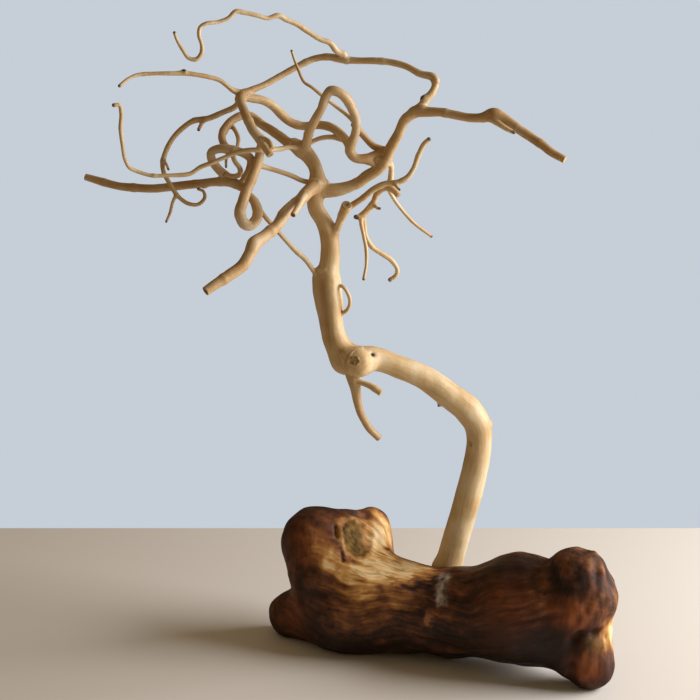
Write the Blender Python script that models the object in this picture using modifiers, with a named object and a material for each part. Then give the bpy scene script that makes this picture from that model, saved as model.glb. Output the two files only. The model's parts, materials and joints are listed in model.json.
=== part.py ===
"""A peeled and dried corkscrew hazel branch standing in a base of polished root wood.

The branch is drawn limb by limb. Each limb is a tapering round stem that follows its own crooked
route, and it is trimmed to the limbs it grows from, so that every fork has one clean seam. The
base is a lump of root wood with a socket for the foot of the trunk and a countersunk wood screw
that comes up from underneath.

World: metres, +Z up, +X along the width, +Y towards the back. All routes and lumps are measured
in millimetres from the seat, the point of the table plane under the trunk's foot.
"""

import bpy
import bmesh
import math
import numpy as np
from mathutils import Vector

MM = 0.001

# Driving dimensions, in metres
BRANCH_HEIGHT = 0.539        # table to the top of the highest whip
BASE_LENGTH = 0.288          # left to right
BASE_DEPTH = 0.168           # front to back
BASE_HEIGHT = 0.116          # table to the top of the head
TRUNK_FOOT_DIAMETER = 0.0230
SOCKET_FLOOR = 0.024         # table to the floor of the socket
SOCKET_CLEARANCE = 0.0004    # all round the foot of the trunk
FORK_GAP = 0.0003            # left in each seam between two limbs
SCREW_DIAMETER = 0.0050
SCREW_LENGTH = 0.055
SCREW_HEAD_DIAMETER = 0.0095
SCREW_TIP = 0.007            # length of the screw's point
SCREW_CLEARANCE = 0.0003     # round the screw's shank in its pilot hole
RECESS_DIAMETER = 0.0125     # bore below the screw's head
DRIVE_DEPTH = 0.0018         # cross slot in the screw's head
FLOOR_WALL = 0.010           # wood between the screw's head and the floor of the socket
THREAD_PITCH = 0.0024
THREADED_SHARE = 0.60        # of the screw's length
THREAD_CORE = 0.74           # of the shank's radius
HEAD_RIM = 0.0006            # straight rim of the screw's head
RECESS_DEPTH = 0.040         # bore below the head, long enough to leave the base
SANDER_HEIGHT = 0.020
KNEE_HEIGHT = 0.160          # socket floor to the knee, where the foot's own width fades out

# Sizes at which the routes and lumps below are drawn, in metres
DRAWN_HEIGHT = 0.539
DRAWN_BASE = (0.288, 0.168, 0.116)
DRAWN_FOOT_DIAMETER = 0.0230
DRAWN_FLOOR = 0.024

RING_SPACING = 1.6           # distance between rings of a straight limb, in diameters
SHORTEST_RING = 0.010
RING_TURN = math.radians(26)  # a limb also gets a ring each time it has turned this far
THICK_LIMB = 0.0085          # a limb thicker than this gets more sides
PALE, STRAW, HONEY = (0.80, 0.64, 0.38), (0.70, 0.51, 0.26), (0.55, 0.37, 0.17)

# Routes of the limbs: (right, back, up, diameter) in millimetres from the seat
ROUTES = {
    "trunk_lower": [
        (2, 0, 24, 22.5), (4, 0, 50, 23), (5, 0, 70, 23), (8, 0, 85, 23), (13, -1, 105, 22.5),
        (20, -2, 132, 22.5), (26, -3, 160, 22), (29, -4, 184, 21), (27, -5, 199, 22.5),
        (18, -7, 213, 23.5), (2, -9, 226, 22), (-18, -12, 241, 20), (-39, -16, 251, 19),
        (-60, -20, 259, 19), (-71, -28, 258, 20.5), (-74, -39, 261, 20),
    ],
    "elbow_twig": [
        (-81, -22, 255, 12.5), (-79, -25, 246, 10.5), (-77, -28, 237, 7), (-74, -28, 226, 6),
        (-71, -27, 214, 6), (-64, -25, 201, 6), (-56, -22, 192, 5.5),
    ],
    "elbow_side_stub": [
        (-76, -28, 243, 5), (-70, -31, 241, 4.5), (-63, -34, 239, 5.5), (-55, -37, 234, 5.5),
    ],
    "trunk_upper": [
        (-78, -22, 257, 18), (-85, -22, 262, 20.5), (-91, -22, 272, 20), (-94, -21, 281, 19.5),
        (-96, -20, 293, 20), (-97, -19, 306, 23), (-99, -18, 319, 23.5), (-99, -18, 327, 23),
        (-97, -18, 335, 17), (-96, -18, 347, 15.5), (-97, -18, 360, 15), (-101, -19, 372, 13.5),
        (-107, -20, 382, 13), (-108, -20, 391, 13), (-106, -20, 403, 13.5),
    ],
    "trunk_handle_twig": [
        (-93, -22, 320, 3.5), (-86, -26, 320, 3), (-82, -27, 315, 3), (-80, -27, 308, 3),
        (-82, -25, 301, 3), (-87, -23, 297, 3), (-93, -20, 295, 3),
    ],
    "trunk_top": [
        (-106, -20, 400, 11), (-106, -20, 407, 11), (-108, -18, 416, 11), (-114, -15, 425, 12),
        (-120, -14, 430, 13), (-125, -12, 434, 9.5),
    ],
    "left_forward_limb": [
        (-105, -21, 403, 11), (-113, -32, 398, 10.5), (-120, -43, 391, 10), (-130, -55, 384, 9.5),
        (-137, -64, 374, 9), (-145, -71, 368, 9.5), (-152, -78, 363, 10), (-157, -84, 355, 9),
        (-162, -89, 347, 9), (-171, -95, 341, 8.5), (-181, -101, 335, 8), (-189, -106, 330, 7),
    ],
    "forward_limb_stub": [
        (-114, -34, 396, 5.5), (-117, -48, 394, 5), (-120, -58, 389, 4.5), (-124, -67, 383, 4.5),
    ],
    "right_main_limb": [
        (-105, -20, 397, 11), (-94, -20, 397, 11), (-84, -20, 399, 10), (-74, -21, 403, 9),
        (-66, -22, 409, 9), (-58, -23, 414, 9), (-52, -24, 421, 9), (-48, -25, 431, 8.5),
        (-42, -27, 442, 8), (-37, -28, 453, 8), (-30, -29, 459, 8), (-24, -30, 463, 8),
    ],
    "reaching_limb": [
        (-30, -29, 460, 7), (-19, -32, 460, 7.5), (-9, -35, 460, 7), (2, -38, 458, 7),
        (14, -42, 456, 7), (24, -46, 456, 7.5), (32, -49, 458, 9), (41, -52, 454, 7),
        (48, -55, 447, 6), (58, -60, 443, 6), (67, -64, 437, 6), (75, -68, 431, 5.5),
        (84, -72, 426, 5),
    ],
    "reaching_limb_spur": [
        (29, -49, 456, 4.5), (33, -55, 453, 4), (39, -58, 450, 3), (45, -60, 447, 2.5),
    ],
    "top_riser": [
        (-28, -29, 460, 7), (-23, -28, 465, 6.5), (-20, -28, 470, 7), (-16, -27, 474, 6),
        (-13, -25, 480, 5.5), (-13, -24, 484, 6),
    ],
    "arch_limb": [
        (-12, -26, 484, 4.5), (-15, -23, 487, 6.5), (-24, -19, 489, 5.5), (-36, -13, 495, 5.5),
        (-48, -9, 498, 5.5), (-61, -6, 499, 5.5), (-74, -2, 499, 5.5), (-86, 1, 500, 6.5),
        (-98, 3, 502, 5.5), (-110, 4, 500, 5.5), (-123, 2, 494, 5), (-136, -1, 487, 5),
        (-149, -6, 480, 5), (-159, -11, 476, 5.5), (-166, -16, 472, 8), (-168, -19, 469, 7),
    ],
    "far_left_twig": [
        (-167, -16, 474, 5.5), (-172, -19, 476, 4.5), (-176, -22, 479, 3.5), (-182, -25, 484, 3.5),
        (-191, -29, 487, 3.5), (-201, -33, 489, 3.5), (-209, -36, 490, 4), (-218, -39, 490, 3.5),
        (-231, -43, 490, 3), (-244, -48, 489, 3), (-251, -52, 486, 2.5), (-257, -56, 481, 2.5),
    ],
    "hooked_whip": [
        (-82, 0, 499, 5), (-86, -2, 504, 5.5), (-91, -5, 507, 5), (-96, -8, 513, 4.5),
        (-104, -11, 516, 4), (-112, -14, 521, 4), (-121, -18, 527, 4), (-130, -22, 531, 4),
        (-136, -25, 534, 4), (-144, -28, 532, 3.5), (-152, -32, 534, 3.5), (-161, -35, 536, 3.5),
        (-168, -38, 537, 3.5), (-174, -40, 532, 3), (-182, -42, 529, 3), (-190, -45, 528, 3),
        (-195, -46, 525, 3), (-196, -47, 519, 3), (-194, -48, 512, 3), (-194, -49, 506, 3.5),
        (-198, -50, 501, 3.5), (-204, -51, 502, 3), (-208, -52, 508, 3), (-212, -53, 515, 2.5),
        (-214, -54, 521, 2.5),
    ],
    "back_limb": [
        (-166, -18, 471, 5), (-159, -13, 470, 7), (-150, -8, 468, 7), (-143, -4, 464, 7),
        (-136, -1, 457, 7.5), (-128, 1, 450, 7), (-118, 1, 447, 7), (-107, -2, 448, 7),
        (-97, -6, 447, 7), (-88, -12, 442, 7), (-82, -17, 435, 7), (-80, -24, 429, 6.5),
    ],
    "loop_limb": [
        (-118, -15, 428, 8), (-115, -20, 435, 8), (-112, -29, 445, 7.5), (-107, -37, 455, 7),
        (-102, -43, 464, 6.5), (-99, -46, 472, 7), (-95, -48, 477, 7.5), (-89, -48, 476, 7.5),
        (-83, -46, 471, 7.5), (-78, -42, 462, 7), (-75, -39, 453, 7), (-76, -35, 443, 7),
        (-79, -32, 435, 7.5), (-80, -30, 429, 8), (-76, -29, 424, 7.5), (-68, -27, 423, 7.5),
        (-59, -23, 426, 7), (-51, -21, 429, 6.5),
    ],
    "loop_tie": [
        (-70, -27, 423, 5), (-64, -26, 420, 5), (-57, -24, 418, 5), (-52, -24, 419, 4),
    ],
    "loop_rear_limb": [
        (-77, -26, 450, 5.5), (-73, -19, 445, 5.5), (-67, -15, 438, 5.5), (-61, -15, 432, 6),
        (-53, -17, 429, 6.5), (-48, -22, 430, 5.5),
    ],
    "thin_limb": [
        (-117, -15, 430, 5), (-111, -13, 435, 4), (-104, -12, 438, 4), (-95, -12, 439, 4),
        (-86, -12, 437, 4),
    ],
    "upright_whip": [
        (-76, -38, 452, 3.5), (-83, -30, 458, 3), (-91, -27, 464, 3), (-100, -28, 471, 3),
        (-110, -28, 479, 2.5), (-116, -27, 483, 2.5), (-120, -25, 491, 2.5), (-123, -22, 498, 2),
        (-126, -19, 507, 2),
    ],
    "drooping_limb": [
        (-166, -18, 472, 7), (-166, -24, 467, 7), (-163, -31, 460, 7), (-159, -37, 452, 7),
        (-155, -41, 445, 7.5), (-149, -45, 438, 7.5), (-145, -49, 433, 7), (-142, -52, 428, 6),
    ],
    "drooping_limb_stub": [
        (-148, -48, 440, 4.5), (-145, -56, 440, 4.5), (-142, -60, 438, 4.5), (-140, -63, 434, 4),
    ],
    "rear_limb": [
        (-120, -12, 429, 8), (-128, -7, 433, 8), (-137, -1, 439, 8), (-145, 5, 444, 7.5),
        (-152, 9, 448, 7), (-160, 11, 454, 7), (-168, 8, 455, 6.5), (-176, 3, 451, 6.5),
        (-181, -3, 445, 6.5), (-183, -9, 439, 6), (-181, -15, 434, 6), (-176, -27, 430, 5.5),
    ],
    "ring_arc_twig": [
        (-177, 3, 448, 4), (-173, -2, 444, 3.5), (-170, -8, 438, 3.5), (-170, -15, 433, 3),
        (-171, -27, 429, 3),
    ],
    "curl_ring": [
        (-171, -24, 402, 6.5), (-177, -19, 407, 7), (-185, -21, 414, 7), (-190, -24, 422, 6.5),
        (-190, -27, 428, 6.5), (-183, -29, 431, 7), (-174, -29, 430, 7), (-166, -28, 428, 6.5),
        (-159, -27, 423, 6.5), (-159, -28, 416, 6.5), (-163, -29, 408, 6.5), (-167, -29, 401, 5.5),
    ],
    "ring_inner_curl": [
        (-173, -32, 428, 4), (-171, -35, 422, 4), (-167, -35, 416, 4), (-167, -33, 412, 4),
        (-172, -27, 409, 4), (-180, -21, 410, 3),
    ],
    "left_spear": [
        (-160, -44, 401, 6.5), (-165, -33, 401, 7), (-171, -25, 403, 7), (-181, -20, 404, 7),
        (-195, -16, 403, 7), (-209, -12, 401, 7), (-224, -8, 399, 7), (-239, -4, 397, 7),
        (-253, 0, 397, 7), (-268, 4, 398, 6.5), (-282, 7, 401, 6.5), (-297, 10, 405, 5.5),
    ],
    "left_whip": [
        (-122, -19, 431, 5), (-128, -23, 432, 4), (-135, -30, 431, 4), (-146, -40, 431, 4),
        (-158, -42, 431, 4), (-169, -42, 429, 4), (-179, -43, 425, 3.5), (-189, -44, 421, 3.5),
        (-197, -45, 418, 3.5), (-205, -46, 413, 3.5), (-213, -48, 412, 3.5), (-224, -51, 412, 3),
        (-234, -53, 412, 3), (-244, -55, 415, 3), (-251, -58, 419, 3), (-254, -60, 426, 3),
        (-255, -62, 436, 3), (-256, -63, 449, 3), (-255, -64, 461, 3), (-256, -66, 467, 3),
        (-260, -68, 467, 3),
    ],
    "c_limb": [
        (-166, -16, 469, 5.5), (-172, -15, 463, 5), (-181, -14, 459, 4.5), (-193, -13, 454, 4.5),
        (-205, -13, 452, 4.5), (-213, -15, 447, 4.5), (-221, -18, 439, 4), (-226, -22, 430, 4),
        (-229, -25, 420, 4), (-228, -28, 412, 3.5), (-223, -30, 403, 3.5), (-217, -32, 394, 3.5),
        (-209, -32, 388, 3.5), (-201, -30, 387, 3), (-196, -28, 392, 3), (-197, -27, 397, 2.5),
        (-201, -27, 399, 2.5),
    ],
    "c_limb_spur": [
        (-197, -13, 453, 3), (-199, -14, 449, 3), (-201, -15, 445, 2.5),
    ],
    "c_limb_twig": [
        (-218, -32, 395, 3), (-221, -33, 389, 2.5), (-223, -35, 381, 2.5), (-226, -37, 374, 2),
    ],
    "hairpin_limb": [
        (-149, -42, 439, 6.5), (-150, -33, 437, 6.5), (-151, -27, 431, 7), (-152, -30, 424, 7.5),
        (-154, -38, 417, 7.5), (-157, -44, 409, 8), (-161, -49, 400, 8), (-164, -53, 391, 8.5),
        (-166, -55, 384, 9), (-164, -54, 376, 9), (-159, -51, 373, 8.5), (-154, -47, 377, 8.5),
        (-153, -43, 383, 8), (-155, -39, 389, 7.5), (-159, -36, 394, 6.5),
    ],
    "hairpin_tie": [
        (-153, -36, 419, 4.5), (-145, -31, 416, 4), (-136, -28, 413, 4), (-126, -25, 409, 4),
        (-118, -22, 405, 4), (-110, -21, 403, 5),
    ],
    "brace_twig": [
        (-103, -18, 322, 5), (-110, -23, 333, 4), (-116, -26, 342, 4), (-124, -29, 350, 4),
        (-132, -32, 359, 3.5), (-141, -35, 370, 3.5), (-149, -36, 380, 3.5), (-154, -37, 390, 3),
    ],
    "trunk_right_stub": [
        (-97, -18, 357, 7.5), (-91, -22, 366, 6.5), (-86, -26, 377, 6.5), (-81, -29, 388, 6),
    ],
    "light_limb": [
        (-83, -27, 383, 5), (-76, -31, 388, 5), (-69, -33, 393, 5), (-62, -35, 399, 5),
        (-52, -36, 404, 4.5), (-43, -37, 405, 4.5), (-35, -37, 409, 4.5), (-30, -37, 416, 4),
        (-26, -37, 427, 4), (-22, -37, 435, 4), (-18, -37, 439, 3.5),
    ],
    "cluster_stem": [
        (-50, -23, 422, 5.5), (-47, -18, 416, 4.5), (-47, -15, 410, 4.5), (-48, -14, 399, 5.5),
    ],
    "cluster_stub": [
        (-49, -14, 400, 5.5), (-45, -17, 397, 5.5), (-41, -20, 393, 5),
    ],
    "cluster_limb": [
        (-47, -14, 399, 5), (-53, -14, 398, 5), (-58, -14, 394, 5), (-61, -16, 387, 5),
        (-65, -18, 382, 5), (-72, -20, 376, 5), (-77, -22, 376, 5),
    ],
    "cluster_twig_left": [
        (-71, -20, 376, 4), (-71, -22, 371, 3.5), (-69, -25, 361, 3), (-67, -28, 350, 3),
        (-67, -30, 338, 2.5), (-69, -32, 327, 2.5),
    ],
    "cluster_twig_right": [
        (-70, -19, 377, 4.5), (-69, -16, 371, 4.5), (-67, -12, 359, 4), (-62, -9, 350, 4),
        (-54, -6, 344, 4), (-46, -3, 338, 4), (-41, -1, 330, 3.5), (-42, 0, 325, 3.5),
        (-47, 1, 321, 3.5),
    ],
    "cluster_thin_twig": [
        (-49, -12, 398, 4), (-45, -9, 390, 3), (-37, -6, 379, 3), (-27, -2, 368, 3),
        (-13, 3, 357, 2.5),
    ],
}

# The limbs that each limb is trimmed to
GROWS_FROM = {
    "trunk_upper": ("trunk_lower",),
    "elbow_twig": ("trunk_lower", "trunk_upper"),
    "elbow_side_stub": ("elbow_twig",),
    "trunk_handle_twig": ("trunk_upper",),
    "trunk_top": ("trunk_upper",),
    "left_forward_limb": ("trunk_upper", "trunk_top"),
    "forward_limb_stub": ("left_forward_limb",),
    "right_main_limb": ("trunk_upper", "trunk_top", "left_forward_limb"),
    "reaching_limb": ("right_main_limb",),
    "reaching_limb_spur": ("reaching_limb",),
    "top_riser": ("right_main_limb", "reaching_limb"),
    "arch_limb": ("top_riser",),
    "far_left_twig": ("arch_limb", "back_limb"),
    "hooked_whip": ("arch_limb",),
    "back_limb": ("arch_limb", "loop_limb"),
    "loop_limb": ("trunk_top", "right_main_limb"),
    "loop_tie": ("loop_limb", "right_main_limb"),
    "loop_rear_limb": ("loop_limb", "right_main_limb"),
    "thin_limb": ("trunk_top", "back_limb", "loop_limb", "rear_limb"),
    "upright_whip": ("loop_limb",),
    "drooping_limb": ("arch_limb", "far_left_twig", "back_limb"),
    "drooping_limb_stub": ("drooping_limb",),
    "rear_limb": ("trunk_top", "curl_ring", "loop_limb"),
    "ring_arc_twig": ("rear_limb", "curl_ring"),
    "curl_ring": ("left_spear",),
    "ring_inner_curl": ("curl_ring",),
    "left_spear": ("hairpin_limb",),
    "left_whip": ("trunk_top", "loop_limb", "rear_limb"),
    "c_limb": ("arch_limb", "far_left_twig", "back_limb", "drooping_limb"),
    "c_limb_spur": ("c_limb",),
    "c_limb_twig": ("c_limb",),
    "hairpin_limb": ("drooping_limb",),
    "hairpin_tie": ("hairpin_limb", "trunk_upper", "left_forward_limb", "trunk_top"),
    "brace_twig": ("trunk_upper", "hairpin_limb"),
    "trunk_right_stub": ("trunk_upper",),
    "light_limb": ("trunk_right_stub",),
    "cluster_stem": ("right_main_limb",),
    "cluster_stub": ("cluster_stem", "cluster_limb"),
    "cluster_limb": ("cluster_stem",),
    "cluster_twig_left": ("cluster_limb",),
    "cluster_twig_right": ("cluster_limb", "cluster_twig_left"),
    "cluster_thin_twig": ("cluster_stem", "cluster_limb"),
}

LIMB_COLOURS = {
    "trunk_lower": STRAW,
    "trunk_upper": STRAW,
    "loop_limb": HONEY,
    "rear_limb": HONEY,
    "arch_limb": HONEY,
    "reaching_limb": HONEY,
}

# Lumps that melt together into the base: two ends (right, back, up) and the radius at each,
# in millimetres from the seat
LUMPS = {
    "head_front": ((-110, 24, 86), (-101, 12, 67), 29, 30),
    "head_crown": ((-114, 21, 90), (-88, 26, 92.5), 19, 19),
    "head_bridge": ((-86, 28, 89), (-66, 42, 87), 17, 17),
    "head_rear": ((-59.5, 47, 92), (-66, 24, 56), 15.5, 23.5),
    "head_neck": ((-99, 12, 64), (-50, -8, 40), 31, 34),
    "saddle": ((-52, 12, 62), (-22, -6, 49), 16, 23),
    "left_foot": ((-131, 25, 18), (-84, -2, 31), 21, 33),
    "belly": ((-84, -2, 32), (9, -22, 38), 33, 34.5),
    "shoulder": ((9, -22, 38), (64, -50, 53), 34.5, 43),
    "wrist": ((64, -50, 53), (99, -72, 61), 43, 30),
    "knuckle": ((103, -73, 91.5), (106, -76, 92), 22.5, 21.5),
    "knuckle_side": ((115, -80, 75), (104, -76, 70), 20.5, 24),
    "heel": ((84, -70, 40), (97, -80, 27), 28, 18),
    "right_foot": ((117, -85, 17.5), (112, -82, 39), 19, 19),
}
MELT = 5.0                   # how softly the lumps run together, in millimetres

# The line inside the base that its sections are read from, in millimetres from the seat
SPINE = ((-100, 18, 45), (-50, -2, 40), (9, -22, 39), (62, -48, 49), (106, -74, 64))
SPINE_RINGS = 26
END_RINGS = 7
RING_POINTS = 28
FARTHEST = 110               # no surface lies farther from the spine than this, in millimetres

branch_scale = (BRANCH_HEIGHT - SOCKET_FLOOR) / (DRAWN_HEIGHT - DRAWN_FLOOR)


def material(name, colour, roughness, metallic=0.0):
    """A Principled material with one colour."""
    made = bpy.data.materials.new(name)
    made.use_nodes = True
    shader = made.node_tree.nodes["Principled BSDF"]
    shader.inputs["Base Color"].default_value = (*colour, 1)
    shader.inputs["Roughness"].default_value = roughness
    shader.inputs["Metallic"].default_value = metallic
    made.diffuse_color = (*colour, 1)
    return made


def add(mesh, name, collection, finish=None):
    """Puts a mesh into a collection as a named object that follows the seat."""
    made = bpy.data.objects.new(name, mesh)
    collection.objects.link(made)
    made.parent = seat
    if finish:
        mesh.materials.clear()
        mesh.materials.append(finish)
    else:
        made.hide_render = True
        made.display_type = "WIRE"
    return made


def cut(piece, cutter):
    """Takes the cutter out of the piece with a live Boolean."""
    step = piece.modifiers.new("cut " + cutter.name, "BOOLEAN")
    step.operation = "DIFFERENCE"
    step.solver = "EXACT"
    step.object = cutter


def placed(name):
    """A limb's route at its real size: points in metres from the seat, and diameters."""
    route = np.array(ROUTES[name], float)
    points = route[:, :3] * MM
    points[:, 2] -= DRAWN_FLOOR
    points *= branch_scale
    points[:, 2] += SOCKET_FLOOR
    diameters = route[:, 3] * MM * branch_scale
    if name == "trunk_lower":
        wanted = TRUNK_FOOT_DIAMETER / (DRAWN_FOOT_DIAMETER * branch_scale)
        below_knee = np.clip(1 - (points[:, 2] - SOCKET_FLOOR) / (KNEE_HEIGHT * branch_scale), 0, 1)
        diameters *= 1 + (wanted - 1) * below_knee
    return points, diameters


def smooth_route(name):
    """Rings along a limb: a cubic through the route's points, read at a spacing set by its width."""
    points, diameters = placed(name)
    rows = np.column_stack([points, diameters])
    knots = np.concatenate([[0], np.cumsum(np.sqrt(np.linalg.norm(np.diff(points, axis=0), axis=1)))])
    slopes = np.gradient(rows, knots, axis=0)
    t = np.linspace(0, knots[-1], 24 * len(knots))
    i = np.clip(np.searchsorted(knots, t, side="right") - 1, 0, len(knots) - 2)
    span = (knots[i + 1] - knots[i])[:, None]
    u = (t - knots[i])[:, None] / span
    fine = ((2 * u**3 - 3 * u**2 + 1) * rows[i] + (u**3 - 2 * u**2 + u) * span * slopes[i]
            + (3 * u**2 - 2 * u**3) * rows[i + 1] + (u**3 - u**2) * span * slopes[i + 1])
    moves = np.diff(fine[:, :3], axis=0)
    steps = np.linalg.norm(moves, axis=1)
    ways = moves / steps[:, None]
    turns = np.arccos(np.clip(np.sum(ways[1:] * ways[:-1], axis=1), -1, 1))
    spacing = np.maximum(RING_SPACING * fine[1:, 3], SHORTEST_RING * branch_scale)
    count = np.concatenate([[0], np.cumsum(steps / spacing + np.append(turns, 0) / RING_TURN)])
    wanted = np.linspace(0, count[-1], max(3, int(round(count[-1])) + 1))
    return np.column_stack([np.interp(wanted, count, fine[:, k]) for k in range(4)])


def stem(name, label, grown=0.0):
    """A limb as a closed mesh: a bevelled curve with a radius at each ring, its caps welded on."""
    rings = smooth_route(name)
    thick = max(row[3] for row in ROUTES[name]) * MM > THICK_LIMB
    sides = 12 if thick else 8
    curve = bpy.data.curves.new(label, "CURVE")
    curve.dimensions = "3D"
    curve.twist_mode = "MINIMUM"
    curve.bevel_depth = MM
    curve.bevel_resolution = (sides - 4) // 2
    curve.use_fill_caps = True
    ends = rings[[0, -1], :3] - rings[[1, -2], :3]
    rings[[0, -1], :3] += ends / np.linalg.norm(ends, axis=1)[:, None] * grown
    spline = curve.splines.new("POLY")
    spline.points.add(len(rings) - 1)
    for point, ring in zip(spline.points, rings):
        point.co = (*ring[:3], 1)
        point.radius = (ring[3] / 2 / math.cos(math.pi / sides) + grown) / MM
    guide = bpy.data.objects.new(label, curve)
    bpy.context.scene.collection.objects.link(guide)
    graph = bpy.context.evaluated_depsgraph_get()
    mesh = bpy.data.meshes.new_from_object(guide.evaluated_get(graph))
    bpy.data.objects.remove(guide)
    shape = bmesh.new()
    shape.from_mesh(mesh)
    bmesh.ops.remove_doubles(shape, verts=shape.verts, dist=0.01 * MM)
    bmesh.ops.recalc_face_normals(shape, faces=shape.faces)
    shape.to_mesh(mesh)
    shape.free()
    mesh.shade_smooth()
    mesh.set_sharp_from_angle(angle=math.radians(60))
    return mesh


def base_scale():
    """How far the base's drawn lumps are stretched along each axis."""
    return np.array([BASE_LENGTH, BASE_DEPTH, BASE_HEIGHT]) / np.array(DRAWN_BASE)


def outside(points):
    """Distance, in millimetres, from the melted lumps: below zero inside the wood."""
    total = 0
    for start, end, start_radius, end_radius in LUMPS.values():
        start, end = np.array(start, float), np.array(end, float)
        along = end - start
        share = np.clip((points - start) @ along / (along @ along), 0, 1)
        away = np.linalg.norm(points - start - share[..., None] * along, axis=-1)
        total = total + np.exp((start_radius + (end_radius - start_radius) * share - away) / MELT)
    return -MELT * np.log(total)


def base_mesh():
    """The base: rays leave the spine, fanning out at its two ends, and stop at the melted lumps."""
    spine = np.array(SPINE, float)
    length = np.concatenate([[0], np.cumsum(np.linalg.norm(np.diff(spine, axis=0), axis=1))])
    place = np.concatenate([np.zeros(END_RINGS), np.linspace(0, length[-1], SPINE_RINGS),
                            np.full(END_RINGS, length[-1])])
    quarter = np.linspace(0, np.pi / 2, END_RINGS + 2)[1:-1]
    turn = np.concatenate([np.pi - quarter, np.full(SPINE_RINGS, np.pi / 2), quarter[::-1]])
    origin = np.column_stack([np.interp(place, length, spine[:, k]) for k in range(3)])[:, None]
    along = (spine[-1] - spine[0]) / np.linalg.norm(spine[-1] - spine[0])
    side = np.cross(along, (0, 0, 1))
    side /= np.linalg.norm(side)
    above = np.cross(side, along)
    angle = np.linspace(0, 2 * np.pi, RING_POINTS, endpoint=False)[None, :, None]
    ring = np.cos(angle) * side + np.sin(angle) * above
    rays = np.cos(turn)[:, None, None] * along + np.sin(turn)[:, None, None] * ring
    grid = first_exit(origin, rays)
    poles = [first_exit(spine[k], sign * along) for k, sign in ((0, -1), (-1, 1))]
    verts = np.concatenate([grid.reshape(-1, 3), poles]) * base_scale() * MM
    rows, last = len(grid), len(grid) * RING_POINTS
    faces = []
    for j in range(RING_POINTS):
        k = (j + 1) % RING_POINTS
        faces.append((last, k, j))
        faces.append((last + 1, last - RING_POINTS + j, last - RING_POINTS + k))
        for i in range(rows - 1):
            a, b = i * RING_POINTS, (i + 1) * RING_POINTS
            faces.append((a + j, a + k, b + k, b + j))
    mesh = bpy.data.meshes.new("base_root")
    mesh.from_pydata(verts.tolist(), [], faces)
    shape = bmesh.new()
    shape.from_mesh(mesh)
    bmesh.ops.recalc_face_normals(shape, faces=shape.faces)
    shape.to_mesh(mesh)
    shape.free()
    mesh.shade_smooth()
    mesh.set_sharp_from_angle(angle=math.radians(50))
    return mesh


def first_exit(origin, rays):
    """Where each ray first leaves the wood: coarse steps outwards, then halving."""
    near = np.full(np.broadcast(origin[..., 0], rays[..., 0]).shape, 2.0)
    far = np.full_like(near, FARTHEST)
    found = np.zeros(near.shape, bool)
    for reach in np.arange(2.0, FARTHEST, 2.0):
        leaves = ~found & (outside(origin + rays * reach) > 0)
        near = np.where(leaves, reach - 2.0, near)
        far = np.where(leaves, reach, far)
        found |= leaves
    for _ in range(16):
        middle = (near + far) / 2
        inside = outside(origin + rays * middle[..., None]) < 0
        near = np.where(inside, middle, near)
        far = np.where(inside, far, middle)
    return origin + rays * near[..., None]


def turned(name, profile, collection, finish=None, steps=12):
    """A round piece turned from a profile of (radius, height) points, from top to bottom."""
    mesh = bpy.data.meshes.new(name)
    mesh.from_pydata([(r, 0, z) for r, z in profile], [(i, i + 1) for i in range(len(profile) - 1)], [])
    made = add(mesh, name, collection, finish)
    turn = made.modifiers.new("turn", "SCREW")
    turn.steps = turn.render_steps = steps
    turn.use_merge_vertices = True
    turn.merge_threshold = 0.00001
    turn.use_smooth_shade = False
    return made


def box(name, size, centre, collection):
    """A plain box cutter."""
    mesh = bpy.data.meshes.new(name)
    shape = bmesh.new()
    bmesh.ops.create_cube(shape, size=1)
    bmesh.ops.scale(shape, vec=size, verts=shape.verts)
    bmesh.ops.translate(shape, vec=centre, verts=shape.verts)
    shape.to_mesh(mesh)
    shape.free()
    return add(mesh, name, collection)


def screw_profile():
    """A countersunk wood screw standing on its head: point, threads, plain shank, cone, flat head."""
    shank = SCREW_DIAMETER / 2
    core = shank * THREAD_CORE
    profile = [(0, SCREW_LENGTH), (core / 2, SCREW_LENGTH - SCREW_TIP / 2)]
    for turn in range(int(SCREW_LENGTH * THREADED_SHARE / THREAD_PITCH)):
        crest = SCREW_LENGTH - SCREW_TIP - turn * THREAD_PITCH
        profile.append((shank, crest))
        profile.append((core, crest - THREAD_PITCH / 2))
    last = profile[-1][1] - THREAD_PITCH / 2
    head = SCREW_HEAD_DIAMETER / 2
    return profile + [(shank, last), (shank, HEAD_RIM + head - shank), (head, HEAD_RIM), (head, 0), (0, 0)]


def pilot_profile():
    """The hole for the screw: a blind bore, a cone for the head, and the recess below it."""
    bore = SCREW_DIAMETER / 2 + SCREW_CLEARANCE
    seat_cone = SCREW_HEAD_DIAMETER / 2 + SCREW_CLEARANCE
    recess = RECESS_DIAMETER / 2
    return [(0, SCREW_LENGTH + SCREW_CLEARANCE), (bore, SCREW_LENGTH + SCREW_CLEARANCE),
            (bore, HEAD_RIM + SCREW_CLEARANCE + seat_cone - bore), (seat_cone, HEAD_RIM + SCREW_CLEARANCE),
            (recess, HEAD_RIM), (recess, -RECESS_DEPTH), (0, -RECESS_DEPTH)]


# Clear the scene
for old in list(bpy.data.objects):
    bpy.data.objects.remove(old)

parts = bpy.data.collections.new("Hazel branch on a root base")
cutters = bpy.data.collections.new("Cutters")
for made in (parts, cutters):
    bpy.context.scene.collection.children.link(made)
cutters.hide_render = True
seat = bpy.data.objects.new("seat", None)
parts.objects.link(seat)

# The branch, limb by limb
pieces = {}
trimmers = {}
for name in ROUTES:
    finish = material(name.replace("_", " "), LIMB_COLOURS.get(name, PALE), 0.45)
    pieces[name] = add(stem(name, name), name, parts, finish)
for parent in dict.fromkeys(parent for parents in GROWS_FROM.values() for parent in parents):
    trimmers[parent] = add(stem(parent, "trim_" + parent, FORK_GAP), "trim_" + parent, cutters)
for name, parents in GROWS_FROM.items():
    for parent in parents:
        cut(pieces[name], trimmers[parent])

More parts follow.
